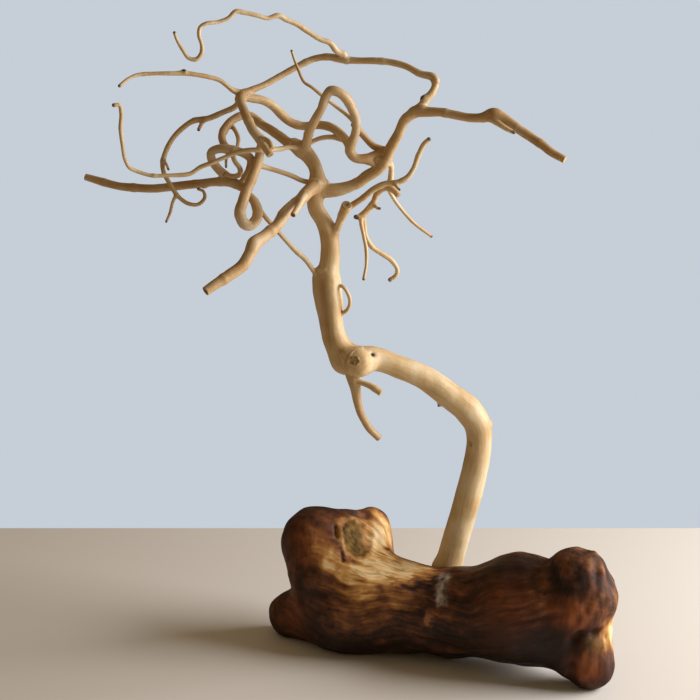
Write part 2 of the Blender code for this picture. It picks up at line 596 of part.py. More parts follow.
# The fixing screw, in line with the foot of the trunk
foot, _ = placed("trunk_lower")
lean = Vector(foot[2] - foot[0]).normalized()
screw_place = Vector(foot[0]) - lean * FLOOR_WALL
screw_turn = lean.to_track_quat("Z", "Y").to_euler()
steel = material("zinc plated steel", (0.62, 0.60, 0.55), 0.32, 1.0)
screw = turned("fixing_screw", screw_profile(), parts, steel)
pilot = turned("screw_hole", pilot_profile(), cutters)
for turned_piece in (screw, pilot):
    turned_piece.location = screw_place
    turned_piece.rotation_euler = screw_turn
for number, across in enumerate(((1, 0.2, 1), (0.2, 1, 1))):
    width = SCREW_HEAD_DIAMETER * 0.55
    slot = box("drive_slot_%d" % number, (width * across[0], width * across[1], 2 * DRIVE_DEPTH),
               (0, 0, 0), cutters)
    slot.location = screw_place
    slot.rotation_euler = screw_turn
    cut(screw, slot)
cut(pieces["trunk_lower"], pilot)

# The base, sanded flat where it stands on the table
base = add(base_mesh(), "base_root", parts, material("root wood", (0.30, 0.17, 0.08), 0.4))
sander = box("table_sander", (2 * BASE_LENGTH, 2 * BASE_LENGTH, SANDER_HEIGHT),
             (0, 0, -SANDER_HEIGHT / 2), cutters)
cut(base, sander)
cut(base, add(stem("trunk_lower", "socket", SOCKET_CLEARANCE), "socket", cutters))
cut(base, pilot)

# The origin: the middle of the whole piece, on the table
bpy.context.view_layer.update()
graph = bpy.context.evaluated_depsgraph_get()
corners = []
for piece in [*pieces.values(), base]:
    mesh = piece.evaluated_get(graph).to_mesh()
    spots = np.empty(len(mesh.vertices) * 3)
    mesh.vertices.foreach_get("co", spots)
    corners.append(spots.reshape(-1, 3))
corners = np.concatenate(corners)
middle = (corners.min(axis=0) + corners.max(axis=0)) / 2
seat.location = (-middle[0], -middle[1], 0)
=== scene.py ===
"""A peeled corkscrew hazel branch standing in a base of polished root wood.

Every limb is a surface of rings carried along its crooked route, fattened softly where it meets
the limbs it grows from. The base is one surface of rays that leave a line inside the root and
stop at its melted lumps, then dented, ridged and split as the root wood is.

Metres, +Z up, +Y towards the back. Routes, lumps and marks are measured in millimetres from the
seat, the point of the table plane under the trunk's foot.
"""

import json
import math

import bpy
import numpy as np
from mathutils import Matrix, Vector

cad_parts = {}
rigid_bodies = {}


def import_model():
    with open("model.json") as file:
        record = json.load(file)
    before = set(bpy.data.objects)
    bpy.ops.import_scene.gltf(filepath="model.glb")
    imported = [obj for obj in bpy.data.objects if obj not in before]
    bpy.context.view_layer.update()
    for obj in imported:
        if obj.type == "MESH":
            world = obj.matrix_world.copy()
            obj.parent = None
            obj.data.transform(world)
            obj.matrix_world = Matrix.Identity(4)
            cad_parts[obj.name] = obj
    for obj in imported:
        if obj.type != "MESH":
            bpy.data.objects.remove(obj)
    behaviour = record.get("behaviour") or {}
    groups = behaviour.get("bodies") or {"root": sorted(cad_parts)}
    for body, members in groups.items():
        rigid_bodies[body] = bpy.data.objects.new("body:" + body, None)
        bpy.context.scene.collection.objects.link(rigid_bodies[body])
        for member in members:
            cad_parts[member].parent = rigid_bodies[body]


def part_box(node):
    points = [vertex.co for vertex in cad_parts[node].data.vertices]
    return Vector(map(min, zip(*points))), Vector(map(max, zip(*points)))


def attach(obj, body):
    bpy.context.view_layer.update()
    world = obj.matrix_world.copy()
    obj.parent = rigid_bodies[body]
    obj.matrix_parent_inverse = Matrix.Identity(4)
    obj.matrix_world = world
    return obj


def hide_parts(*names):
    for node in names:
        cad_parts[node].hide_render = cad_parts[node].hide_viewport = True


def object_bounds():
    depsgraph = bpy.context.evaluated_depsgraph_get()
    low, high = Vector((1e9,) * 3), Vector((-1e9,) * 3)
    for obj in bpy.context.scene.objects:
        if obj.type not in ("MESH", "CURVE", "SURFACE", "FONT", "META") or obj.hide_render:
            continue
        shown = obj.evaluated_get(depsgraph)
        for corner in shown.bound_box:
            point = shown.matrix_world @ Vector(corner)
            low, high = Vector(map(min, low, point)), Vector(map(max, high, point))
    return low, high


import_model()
cad_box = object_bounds()

MM = 0.001

# The screw stands in line with the leaning foot, so its box is centred a little right of the seat
SCREW_LEAN = np.array([1.79, 0, 0]) * MM
screw_low, screw_high = (np.array(corner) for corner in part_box("fixing_screw"))
SEAT = ((screw_low + screw_high) / 2 - SCREW_LEAN) * (1, 1, 0)

# Routes of the limbs: (right, back, up, diameter)
ROUTES = {
    "trunk_lower": [
        (2, 0, 24, 22.5), (4, 0, 50, 23), (5, 0, 70, 23), (8, 0, 85, 23), (13, -1, 105, 22.5),
        (20, -2, 132, 22.5), (26, -3, 160, 22), (29, -4, 184, 21), (27, -5, 199, 22.5),
        (18, -7, 213, 23.5), (2, -9, 226, 22), (-18, -12, 241, 20), (-39, -16, 251, 19),
        (-60, -20, 259, 19), (-71, -28, 258, 20.5), (-74, -39, 261, 20),
    ],
    "elbow_twig": [
        (-81, -22, 255, 12.5), (-78, -25, 246, 11), (-75.5, -28, 237, 9), (-74, -28, 226, 7.2),
        (-71, -27, 214, 6.4), (-64, -25, 201, 6.2), (-56, -22, 192, 5.8),
    ],
    "elbow_side_stub": [
        (-76, -28, 243, 5), (-70, -31, 241, 4.5), (-63, -34, 239, 5.5), (-55, -37, 234, 5.5),
    ],
    "trunk_upper": [
        (-78, -22, 257, 18), (-85, -22, 262, 20.5), (-91, -22, 272, 20), (-94, -21, 281, 19.5),
        (-96, -20, 293, 20), (-97, -19, 306, 23), (-99, -18, 319, 23.5), (-99, -18, 327, 23),
        (-97, -18, 335, 17), (-96, -18, 347, 15.5), (-97, -18, 360, 15), (-101, -19, 372, 13.5),
        (-107, -20, 382, 13), (-108, -20, 391, 13), (-106, -20, 403, 13.5),
    ],
    "trunk_handle_twig": [
        (-93, -22, 320, 3.5), (-86, -26, 320, 3), (-82, -27, 315, 3), (-80, -27, 308, 3),
        (-82, -25, 301, 3), (-87, -23, 297, 3), (-93, -20, 295, 3),
    ],
    "trunk_top": [
        (-106, -20, 400, 11), (-106, -20, 407, 11), (-108, -18, 416, 11), (-114, -15, 425, 12),
        (-120, -14, 430, 13), (-125, -12, 434, 9.5),
    ],
    "left_forward_limb": [
        (-105, -21, 403, 11), (-113, -32, 398, 10.5), (-120, -43, 391, 10), (-130, -55, 384, 9.5),
        (-137, -64, 374, 9), (-145, -71, 368, 9.5), (-152, -78, 363, 10), (-157, -84, 355, 9),
        (-162, -89, 347, 9), (-171, -95, 341, 8.5), (-181, -101, 335, 8), (-189, -106, 330, 7),
    ],
    "forward_limb_stub": [
        (-114, -34, 396, 5.5), (-117, -48, 394, 5), (-120, -58, 389, 4.5), (-124, -67, 383, 4.5),
    ],
    "right_main_limb": [
        (-105, -20, 397, 11), (-94, -20, 397, 11), (-84, -20, 399, 10), (-74, -21, 403, 9),
        (-66, -22, 409, 9), (-58, -23, 414, 9), (-52, -24, 421, 9), (-48, -25, 431, 8.5),
        (-42, -27, 442, 8), (-37, -28, 453, 8), (-30, -29, 459, 8), (-24, -30, 463, 8),
    ],
    "reaching_limb": [
        (-30, -29, 460, 7), (-19, -32, 460, 7.5), (-9, -35, 460, 7), (2, -38, 458, 7),
        (14, -42, 456, 7), (23, -46, 456.5, 7.8), (31, -49, 459, 10.5), (38, -51, 456.5, 9),
        (45, -54, 452, 7.8), (52, -57, 447, 7.2), (59, -60, 442.3, 6.8), (67, -64, 437, 6.8),
        (75, -68, 431, 6.4), (84, -72, 426, 5.6),
    ],
    "reaching_limb_spur": [
        (29, -51, 455.5, 5), (35, -56, 452, 4.6), (41, -59, 448.5, 4), (46, -61, 446, 3),
    ],
    "top_riser": [
        (-28, -29, 460, 7), (-23, -28, 465, 6.5), (-20, -28, 470, 7), (-16, -27, 474, 6),
        (-13, -25, 480, 5.5), (-13, -24, 484, 6),
    ],
    "arch_limb": [
        (-12, -26, 484, 4.5), (-15, -23, 487, 6.5), (-24, -19, 489, 5.5), (-36, -13, 495, 5.5),
        (-48, -9, 498, 5.5), (-61, -6, 499, 5.5), (-74, -2, 499, 5.5), (-86, 1, 500, 6.5),
        (-98, 3, 502, 5.5), (-110, 4, 500, 5.5), (-123, 2, 494, 5), (-136, -1, 487, 5),
        (-149, -6, 480, 5), (-159, -11, 476, 5.5), (-166, -16, 472, 8), (-168, -19, 469, 7),
    ],
    "far_left_twig": [
        (-167, -16, 474, 5.5), (-172, -19, 476, 4.5), (-176, -22, 479, 3.5), (-182, -25, 484, 3.5),
        (-191, -29, 487, 3.5), (-201, -33, 489, 3.5), (-209, -36, 490, 4), (-218, -39, 490, 3.5),
        (-231, -43, 490, 3), (-244, -48, 489, 3), (-251, -52, 486, 2.5), (-257, -56, 481, 2.5),
    ],
    "hooked_whip": [
        (-82, 0, 499, 5), (-86, -2, 504, 5.5), (-91, -5, 507, 5), (-96, -8, 513, 4.5),
        (-104, -11, 516, 4), (-112, -14, 521, 4), (-121, -18, 527, 4), (-130, -22, 531, 4),
        (-136, -25, 534, 4), (-144, -28, 532, 3.5), (-152, -32, 534, 3.5), (-161, -35, 536, 3.5),
        (-168, -38, 537, 3.5), (-174, -40, 532, 3), (-182, -42, 529, 3), (-190, -45, 528, 3),
        (-195, -46, 525, 3), (-196, -47, 519, 3), (-194, -48, 512, 3), (-194, -49, 506, 3.5),
        (-198, -50, 501, 3.5), (-204, -51, 502, 3), (-208, -52, 508, 3), (-212, -53, 515, 2.5),
        (-214, -54, 521, 2.5),
    ],
    "back_limb": [
        (-166, -18, 471, 5), (-159, -13, 470, 7), (-150, -8, 468, 7), (-143, -4, 464, 7),
        (-136, -1, 457, 7.5), (-128, 1, 450, 7), (-118, 1, 447, 7), (-107, -2, 448, 7),
        (-97, -6, 447, 7), (-88, -12, 442, 7), (-82, -17, 435, 7), (-80, -24, 429, 6.5),
    ],
    "loop_limb": [
        (-118, -15, 428, 8), (-115, -20, 435, 8), (-112, -29, 445, 7.5), (-107, -37, 455, 7),
        (-102, -43, 464, 6.5), (-99, -46, 472, 7), (-95, -48, 477, 7.5), (-89, -48, 476, 7.5),
        (-83, -46, 471, 7.5), (-78, -42, 462, 7), (-75, -39, 453, 7), (-76, -35, 443, 7),
        (-79, -32, 435, 7.5), (-80, -30, 429, 8), (-76, -29, 424, 7.5), (-68, -27, 423, 7.5),
        (-59, -23, 426, 7), (-51, -21, 429, 6.5),
    ],
    "loop_tie": [
        (-70, -27, 423, 5), (-64, -26, 420, 5), (-57, -24, 418, 5), (-52, -24, 419, 4),
    ],
    "loop_rear_limb": [
        (-77, -26, 450, 5.5), (-73, -19, 445, 5.5), (-67, -15, 438, 5.5), (-61, -15, 432, 6),
        (-53, -17, 429, 6.5), (-48, -22, 430, 5.5),
    ],
    "thin_limb": [
        (-117, -15, 430, 5), (-111, -13, 435, 4), (-104, -12, 438, 4), (-95, -12, 439, 4),
        (-86, -12, 437, 4),
    ],
    "upright_whip": [
        (-76, -38, 452, 3.5), (-83, -30, 458, 3), (-91, -27, 464, 3), (-100, -28, 471, 3),
        (-110, -28, 479, 2.5), (-116, -27, 483, 2.5), (-120, -25, 491, 2.5), (-123, -22, 498, 2),
        (-126, -19, 507, 2),
    ],
    "drooping_limb": [
        (-166, -18, 472, 7), (-166, -24, 467, 7), (-163, -31, 460, 7), (-159, -37, 452, 7),
        (-155, -41, 445, 7.5), (-149, -45, 438, 7.5), (-145, -49, 433, 7), (-142, -52, 428, 6),
    ],
    "drooping_limb_stub": [
        (-148, -48, 440, 4.5), (-145, -56, 440, 4.5), (-142, -60, 438, 4.5), (-140, -63, 434, 4),
    ],
    "rear_limb": [
        (-120, -12, 429, 8), (-128, -7, 433, 8), (-137, -1, 439, 8), (-145, 5, 444, 7.5),
        (-152, 9, 448, 7), (-160, 11, 454, 7), (-168, 8, 455, 6.5), (-176, 3, 451, 6.5),
        (-181, -3, 445, 6.5), (-183, -9, 439, 6), (-181, -15, 434, 6), (-176, -27, 430, 5.5),
    ],
    "ring_arc_twig": [
        (-177, 3, 448, 4), (-173, -2, 444, 3.5), (-170, -8, 438, 3.5), (-170, -15, 433, 3),
        (-171, -27, 429, 3),
    ],
    "curl_ring": [
        (-171, -24, 402, 6.5), (-177, -19, 407, 7), (-185, -21, 414, 7), (-190, -24, 422, 6.5),
        (-190, -27, 428, 6.5), (-183, -29, 431, 7), (-174, -29, 430, 7), (-166, -28, 428, 6.5),
        (-159, -27, 423, 6.5), (-159, -28, 416, 6.5), (-163, -29, 408, 6.5), (-167, -29, 401, 5.5),
    ],
    "ring_inner_curl": [
        (-173, -32, 428, 4), (-171, -35, 422, 4), (-167, -35, 416, 4), (-167, -33, 412, 4),
        (-172, -27, 409, 4), (-180, -21, 410, 3),
    ],
    "left_spear": [
        (-160, -44, 401, 6.5), (-165, -33, 401, 7), (-171, -25, 403, 7), (-181, -20, 404, 7),
        (-195, -16, 403, 7), (-209, -12, 401, 7), (-224, -8, 399, 7), (-239, -4, 397, 7),
        (-253, 0, 397, 7), (-268, 4, 398, 6.5), (-282, 7, 401, 6.5), (-297, 10, 405, 5.5),
    ],
    "left_whip": [
        (-122, -19, 431, 5), (-128, -23, 432, 4), (-135, -30, 431, 4), (-146, -40, 431, 4),
        (-158, -42, 431, 4), (-169, -42, 429, 4), (-179, -43, 425, 3.5), (-189, -44, 421, 3.5),
        (-197, -45, 418, 3.5), (-205, -46, 413, 3.5), (-213, -48, 412, 3.5), (-224, -51, 412, 3),
        (-234, -53, 412, 3), (-244, -55, 415, 3), (-251, -58, 419, 3), (-254, -60, 426, 3),
        (-255, -62, 436, 3), (-256, -63, 449, 3), (-255, -64, 461, 3), (-256, -66, 467, 3),
        (-260, -68, 467, 3),
    ],
    "c_limb": [
        (-166, -16, 469, 5.5), (-172, -15, 463, 5), (-181, -14, 459, 4.5), (-193, -13, 454, 4.5),
        (-205, -13, 452, 4.5), (-213, -15, 447, 4.5), (-221, -18, 439, 4), (-226, -22, 430, 4),
        (-229, -25, 420, 4), (-228, -28, 412, 3.5), (-223, -30, 403, 3.5), (-217, -32, 394, 3.5),
        (-209, -32, 388, 3.5), (-201, -30, 387, 3), (-196, -28, 392, 3), (-197, -27, 397, 2.5),
        (-201, -27, 399, 2.5),
    ],
    "c_limb_spur": [
        (-197, -13, 453, 3), (-199, -14, 449, 3), (-201, -15, 445, 2.5),
    ],
    "c_limb_twig": [
        (-218, -32, 395, 3), (-221, -33, 389, 2.5), (-223, -35, 381, 2.5), (-226, -37, 374, 2),
    ],
    "hairpin_limb": [
        (-149, -42, 439, 6.5), (-150, -33, 437, 6.5), (-151, -27, 431, 7), (-152, -30, 424, 7.5),
        (-154, -38, 417, 7.5), (-157, -44, 409, 8), (-161, -49, 400, 8), (-164, -53, 391, 8.5),
        (-166, -55, 384, 9), (-164, -54, 376, 9), (-159, -51, 373, 8.5), (-154, -47, 377, 8.5),
        (-153, -43, 383, 8), (-155, -39, 389, 7.5), (-159, -36, 394, 6.5),
    ],
    "hairpin_tie": [
        (-153, -36, 419, 4.5), (-145, -31, 416, 4), (-136, -28, 413, 4), (-126, -25, 409, 4),
        (-118, -22, 405, 4), (-110, -21, 403, 5),
    ],
    "brace_twig": [
        (-103, -18, 322, 5), (-110, -23, 333, 4), (-116, -26, 342, 4), (-124, -29, 350, 4),
        (-132, -32, 359, 3.5), (-141, -35, 370, 3.5), (-149, -36, 380, 3.5), (-154, -37, 390, 3),
    ],
    "trunk_right_stub": [
        (-97, -18, 357, 7.5), (-91, -22, 366, 6.5), (-87, -27, 376, 6.8), (-84, -32, 383, 8.2),
        (-82.5, -36, 387, 8.0),
    ],
    "light_limb": [
        (-83, -27, 383, 5), (-76, -31, 388, 5), (-69, -33, 393, 5), (-62, -35, 399, 5),
        (-52, -36, 404, 4.5), (-43, -37, 405, 4.5), (-35, -37, 409, 4.5), (-30, -37, 416, 4),
        (-26, -37, 427, 4), (-22, -37, 435, 4), (-18, -37, 439, 3.5),
    ],
    "cluster_stem": [
        (-50, -23, 422, 5.5), (-47, -18, 416, 4.5), (-47, -15, 410, 4.5), (-48, -14, 399, 5.5),
    ],
    "cluster_stub": [
        (-49, -14, 400, 5.5), (-45, -17, 397, 5.5), (-41, -20, 393, 5),
    ],
    "cluster_limb": [
        (-47, -14, 399, 5), (-53, -14, 398, 5), (-58, -14, 394, 5), (-61, -16, 387, 5),
        (-65, -18, 382, 5), (-72, -20, 376, 4.6), (-75.5, -22, 376, 3.6),
    ],
    "cluster_twig_left": [
        (-71, -20, 376, 4), (-71, -22, 371, 3.5), (-69, -25, 361, 3), (-67, -28, 350, 3),
        (-67, -30, 338, 2.5), (-69, -32, 327, 2.5),
    ],
    "cluster_twig_right": [
        (-70, -19, 377, 4.5), (-69, -16, 371, 4.5), (-67, -12, 359, 4), (-62, -9, 350, 4),
        (-54, -6, 344, 4), (-46, -3, 338, 4), (-41, -1, 330, 3.5), (-42, 0, 325, 3.5),
        (-47, 1, 321, 3.5),
    ],
    "cluster_thin_twig": [
        (-49, -12, 398, 4), (-45, -9, 390, 3), (-37, -6, 379, 3), (-27, -2, 368, 3),
        (-13, 3, 357, 2.5),
    ],
}

# The limbs that each limb runs into
GROWS_FROM = {
    "trunk_upper": ("trunk_lower",),
    "elbow_twig": ("trunk_lower", "trunk_upper"),
    "elbow_side_stub": ("elbow_twig",),
    "trunk_handle_twig": ("trunk_upper",),
    "trunk_top": ("trunk_upper",),
    "left_forward_limb": ("trunk_upper", "trunk_top"),
    "forward_limb_stub": ("left_forward_limb",),
    "right_main_limb": ("trunk_upper", "trunk_top", "left_forward_limb"),
    "reaching_limb": ("right_main_limb",),
    "reaching_limb_spur": ("reaching_limb",),
    "top_riser": ("right_main_limb", "reaching_limb"),
    "arch_limb": ("top_riser",),
    "far_left_twig": ("arch_limb", "back_limb"),
    "hooked_whip": ("arch_limb",),
    "back_limb": ("arch_limb", "loop_limb"),
    "loop_limb": ("trunk_top", "right_main_limb"),
    "loop_tie": ("loop_limb", "right_main_limb"),
    "loop_rear_limb": ("loop_limb", "right_main_limb"),
    "thin_limb": ("trunk_top", "back_limb", "loop_limb", "rear_limb"),
    "upright_whip": ("loop_limb",),
    "drooping_limb": ("arch_limb", "far_left_twig", "back_limb"),
    "drooping_limb_stub": ("drooping_limb",),
    "rear_limb": ("trunk_top", "curl_ring", "loop_limb"),
    "ring_arc_twig": ("rear_limb", "curl_ring"),
    "curl_ring": ("left_spear",),
    "ring_inner_curl": ("curl_ring",),
    "left_spear": ("hairpin_limb",),
    "left_whip": ("trunk_top", "loop_limb", "rear_limb"),
    "c_limb": ("arch_limb", "far_left_twig", "back_limb", "drooping_limb"),
    "c_limb_spur": ("c_limb",),
    "c_limb_twig": ("c_limb",),
    "hairpin_limb": ("drooping_limb",),
    "hairpin_tie": ("hairpin_limb", "trunk_upper", "left_forward_limb", "trunk_top"),
    "brace_twig": ("trunk_upper", "hairpin_limb"),
    "trunk_right_stub": ("trunk_upper",),
    "light_limb": ("trunk_right_stub",),
    "cluster_stem": ("right_main_limb",),
    "cluster_stub": ("cluster_stem", "cluster_limb"),
    "cluster_limb": ("cluster_stem",),
    "cluster_twig_left": ("cluster_limb",),
    "cluster_twig_right": ("cluster_limb", "cluster_twig_left"),
    "cluster_thin_twig": ("cluster_stem", "cluster_limb"),
}

# Small side twigs that are too thin to be parts of their own, and the limb each one grows from
SPURS = {
    "ring_thorn": ("curl_ring", [
        (-177, -27, 431, 2.6), (-177, -31, 427, 2.4), (-178, -33, 422, 2.2), (-178, -34, 417, 1.8),
    ]),
    "c_limb_thorn": ("c_limb", [
        (-229, -25, 421, 2.6), (-226, -28, 419, 2.4), (-224, -31, 415, 2.0),
    ]),
    "cluster_thorn": ("cluster_limb", [
        (-61, -17, 386, 3.0), (-58, -21, 383, 2.4), (-56, -24, 383, 2.0),
    ]),
    "fork_knot": ("right_main_limb", [
        (-64, -23, 425, 5.0), (-59, -24.5, 422, 7.5), (-54, -25, 420, 6.0),
    ]),
    "light_limb_thorn": ("light_limb", [
        (-45, -37, 405, 3.2), (-43, -40, 402, 2.6), (-41, -42, 400, 2.0),
    ]),
}

# How each limb ends: sawn flat, with how dark the cut is, broken off rough, or run into another
# limb. The rest are tips.
SAWN = {
    "elbow_twig": 0.25, "elbow_side_stub": 0.2, "left_forward_limb": 1.0, "forward_limb_stub": 1.0,
    "reaching_limb": 0.1, "loop_limb": 1.0, "drooping_limb": 0.6, "drooping_limb_stub": 0.1,
    "left_spear": 0.45, "trunk_right_stub": 0.8, "cluster_stub": 0.6,
}
BROKEN = ("trunk_lower",)
RUN_IN = (
    "trunk_upper", "trunk_handle_twig", "trunk_top", "right_main_limb", "top_riser", "arch_limb",
    "back_limb", "loop_tie", "loop_rear_limb", "thin_limb", "rear_limb", "ring_arc_twig",
    "curl_ring", "hairpin_limb", "hairpin_tie", "brace_twig", "cluster_stem", "fork_knot",
)

# Limbs that keep a little of their brown inner bark, and how much; the same brown also stands as painted
# shade on limbs that lie out of the light
TAN_AND_SHADE = {
    "reaching_limb": 0.75, "left_forward_limb": 0.50, "loop_limb": 0.40, "right_main_limb": 0.26,
    "left_spear": 0.50, "rear_limb": 0.50, "loop_rear_limb": 0.45, "c_limb": 0.40,
    "hairpin_limb": 0.24, "drooping_limb": 0.30, "trunk_top": 0.35, "arch_limb": 0.25,
    "curl_ring": 0.25, "forward_limb_stub": 0.20, "elbow_twig": 0.30, "brace_twig": 0.20,
}

# Buds, knots and scars of the limbs: (right, back, up), reach, height, darkness
BUDS = {
    "trunk_lower": [
        ((-7.5, -11, 215.5), 1.7, 2.6, 1.0), ((39.5, -5, 199.5), 1.9, 2.2, 0.4),
        ((-61.7, -29.2, 263.9), 1.9, -2.2, 1.0), ((20, -12, 184), 3.2, -0.3, 0.45),
        ((-9, -3, 72), 7.5, 3.6, 0.0), ((-8, -6, 78), 3.0, 0.8, 0.12),
    ],
    "trunk_upper": [((-102, -24, 393), 1.2, 0.3, 0.35), ((-89, -26, 252), 9.0, 3.2, 0.0)],
    "reaching_limb_spur": [((46, -62, 446), 2.6, 0.0, 0.5)],
    "left_forward_limb": [((-156.7, -82, 365), 5.5, 1.6, 0.05)],
    "far_left_twig": [((-209, -37, 493), 2.0, 1.5, 1.0)],
    "top_riser": [((-23.5, -29, 471), 2.6, 1.4, 0.75)],
    "hooked_whip": [((-84, -3.5, 505), 2.4, 1.0, 0.1)],
    "reaching_limb": [((32, -52, 458), 5.5, 1.0, 0.12), ((36, -54, 452), 3.2, 0.6, 0.4)],
    "cluster_limb": [((-76.5, -23, 376), 2.2, 0.2, 1.0)],
    "trunk_right_stub": [((-84, -33, 386), 3.0, 0.5, 0.0)],
    "c_limb": [((-228, -27, 422), 2.4, 0.9, 0.4), ((-197, -14, 453), 2.8, 0.8, 0.35)],
    "left_whip": [((-233, -53, 412), 2.0, 0.6, 0.3)],
    "left_spear": [((-197, -16, 400), 2.8, 1.4, 0.3)],
}

# Lumps that melt together into the base: two ends (right, back, up) and the radius at each
LUMPS = {
    "head_front": ((-110, 24, 86), (-101, 12, 67), 29, 30),
    "head_crown": ((-114, 21, 90), (-88, 26, 92.5), 19, 19),
    "head_bridge": ((-86, 28, 89), (-66, 42, 87), 17, 17),
    "head_rear": ((-59.5, 47, 92), (-66, 24, 56), 15.5, 23.5),
    "head_neck": ((-99, 12, 64), (-50, -8, 40), 31, 34),
    "saddle": ((-52, 12, 62), (-22, -6, 49), 16, 23),
    "left_foot": ((-131, 25, 18), (-84, -2, 31), 21, 33),
    "belly": ((-84, -2, 32), (9, -22, 38), 33, 34.5),
    "shoulder": ((9, -22, 38), (64, -50, 53), 34.5, 43),
    "wrist": ((64, -50, 53), (99, -72, 61), 43, 30),
    "knuckle": ((103, -73, 91.5), (106, -76, 92), 22.5, 21.5),
    "knuckle_side": ((115, -80, 75), (104, -76, 70), 20.5, 24),
    "heel": ((84, -70, 40), (97, -80, 27), 28, 18),
    "right_foot": ((117, -85, 17.5), (112, -82, 39), 19, 19),
}
MELT = 5.0
SPINE = ((-100, 18, 45), (-50, -2, 40), (9, -22, 39), (62, -48, 49), (106, -74, 64))

# Lengthwise and roundwise spacing of a limb's surface points
RING_STEP = 0.75
THICK_STEP = 0.055           # as a share of the diameter, where that is more
FEWEST_SIDES, MOST_SIDES = 14, 64
ROUND_STEP = 1.1
MELT_STEPS = 7               # times a point is moved before two limbs have melted together

# Where the base is lighter or darker than plain root wood: (right, back, up), reach, amount. Some spots are
# painted light and shade: the dark spots low on the front right paint the shade of the lower front and the
# shadow under the rim above the knob, and the strong light spot at the right end's waist is a painted
# highlight.
GOLD_WITH_PAINTED_LIGHT = [
    ((-54.6, -22, 74), 21, 0.56), ((-84, -22, 75), 13, 0.40), ((-16.6, -21, 74), 16, 0.34),
    ((-33, -8, 77), 17, 0.56), ((-51, 31, 98), 17, 0.62), ((-56, 16, 86), 13, 0.52),
    ((-98, -16, 85), 8, 0.32), ((-44, -42.5, 55), 7, 0.26), ((-30, -46, 52), 6, 0.14),
    ((-66, -33, 57), 8, 0.12), ((-106, -8, 92), 13, 0.14), ((-72, 16, 104), 9, 0.30),
    ((-66, 4, 86), 8, 0.34), ((130, -95, 80), 9, 0.14),
    # Painted highlight: the first spot on the next line, (131, -88, 48), lights the waist of the right end
    ((131, -88, 48), 13, 0.72), ((112, -104, 27), 15, 0.10), ((87, -101, 70), 10, 0.10),
    ((106, -104, 66), 12, 0.14), ((64, -95, 66), 18, 0.03), ((-132, -2, 23), 20, 0.03),
    ((42, -63, 92), 20, -0.16), ((64, -51, 99), 18, -0.12), ((98, -99, 88), 14, -0.12),
    ((104, -84, 108), 12, -0.08), ((85, -97, 32), 20, -0.18), ((-86, -24, 60), 10, -0.06),
    ((-130, 9, 102), 12, -0.08), ((-66, 32, 108), 6, -0.12), ((-47, 14, 81), 4, -0.5),
    ((-85, 13, 111), 7, 0.34), ((-60, -3, 83), 13, 0.26), ((-68, -19, 77), 12, 0.24),
    ((-28, -14, 75), 15, 0.18), ((-92, -27, 66), 9, 0.12), ((-104, -10, 92), 14, 0.10),
    # Painted shade: (56, -86, 48) and (20, -62, 44), with (85, -97, 32) above, darken the lower front right;
    # (86, -98, 46), (106, -103, 54), (124, -98, 54) and (98, -102, 36) paint the shadow under the rim above
    # the knob
    ((-32, -38, 60), 12, 0.12), ((0, -42, 66), 10, 0.10), ((56, -86, 48), 24, -0.26),
    ((86, -98, 46), 16, -0.34), ((106, -103, 54), 9, -0.34), ((124, -98, 54), 6, -0.20),
    ((20, -62, 44), 20, -0.12), ((98, -102, 36), 7, -0.34), ((113, -103, 26), 11, 0.22),
]
# Dark veins that run with the grain, and painted shade along three hollows: two ends, reach, darkness
VEINS_AND_VALLEY_SHADE = [
    ((-34, -34, 66), (-6, -39, 68), 4.0, 0.42), ((-64, -30, 64), (-42, -35, 62), 3.2, 0.26),
    # Painted shade: the first on the next line darkens the crease between the left foot and the head
    ((-121.7, -12.6, 74.7), (-121, -12, 45.5), 5.0, 0.16), ((-30, -28, 71), (-8, -31, 72), 1.6, 0.3),
    # Painted shade: both on the next line darken the valley between the shoulder and the knuckle
    ((82, -75.5, 102), (84.6, -89.6, 93), 5.0, 0.18), ((84.6, -89.6, 93), (82, -95, 78), 5.0, 0.14),
    ((12, -60, 62), (40, -78, 60), 2.2, 0.14), ((-66, -34, 50), (-20, -50, 44), 2.4, 0.12),
]
# Capsules of relief on the base: two ends, reach, and how far the wood stands proud
RIDGES = [
    ((-87.7, 4.8, 103.6), (-85.9, -14.7, 84.5), 1.7, 1.7), ((-91, 10, 110), (-80, 15, 109), 2.6, 1.3),
    ((-80, 15, 109), (-68.7, 19.3, 102.3), 2.6, 1.7), ((-68.7, 19.3, 102.3), (-60, 20, 93), 2.6, 1.9),
    ((-60, 20, 93), (-61, 9.7, 85.6), 2.8, 1.6), ((-61, 9.7, 85.6), (-66.3, -8.2, 83), 3.2, 1.2),
    ((-46.6, 13.7, 81), (-46, 15, 78), 3.0, 2.0), ((116.5, -77, 111), (121, -91, 100), 3.6, 1.5),
    ((121, -91, 100), (119, -100, 84), 3.6, 1.3), ((99, -74, 114), (86, -91, 93), 3.2, 0.9),
    ((112, -84, 111), (98, -102, 78), 3.2, 0.9), ((-78, 22, 112), (-68, 19, 103), 2.4, 0.8),
]
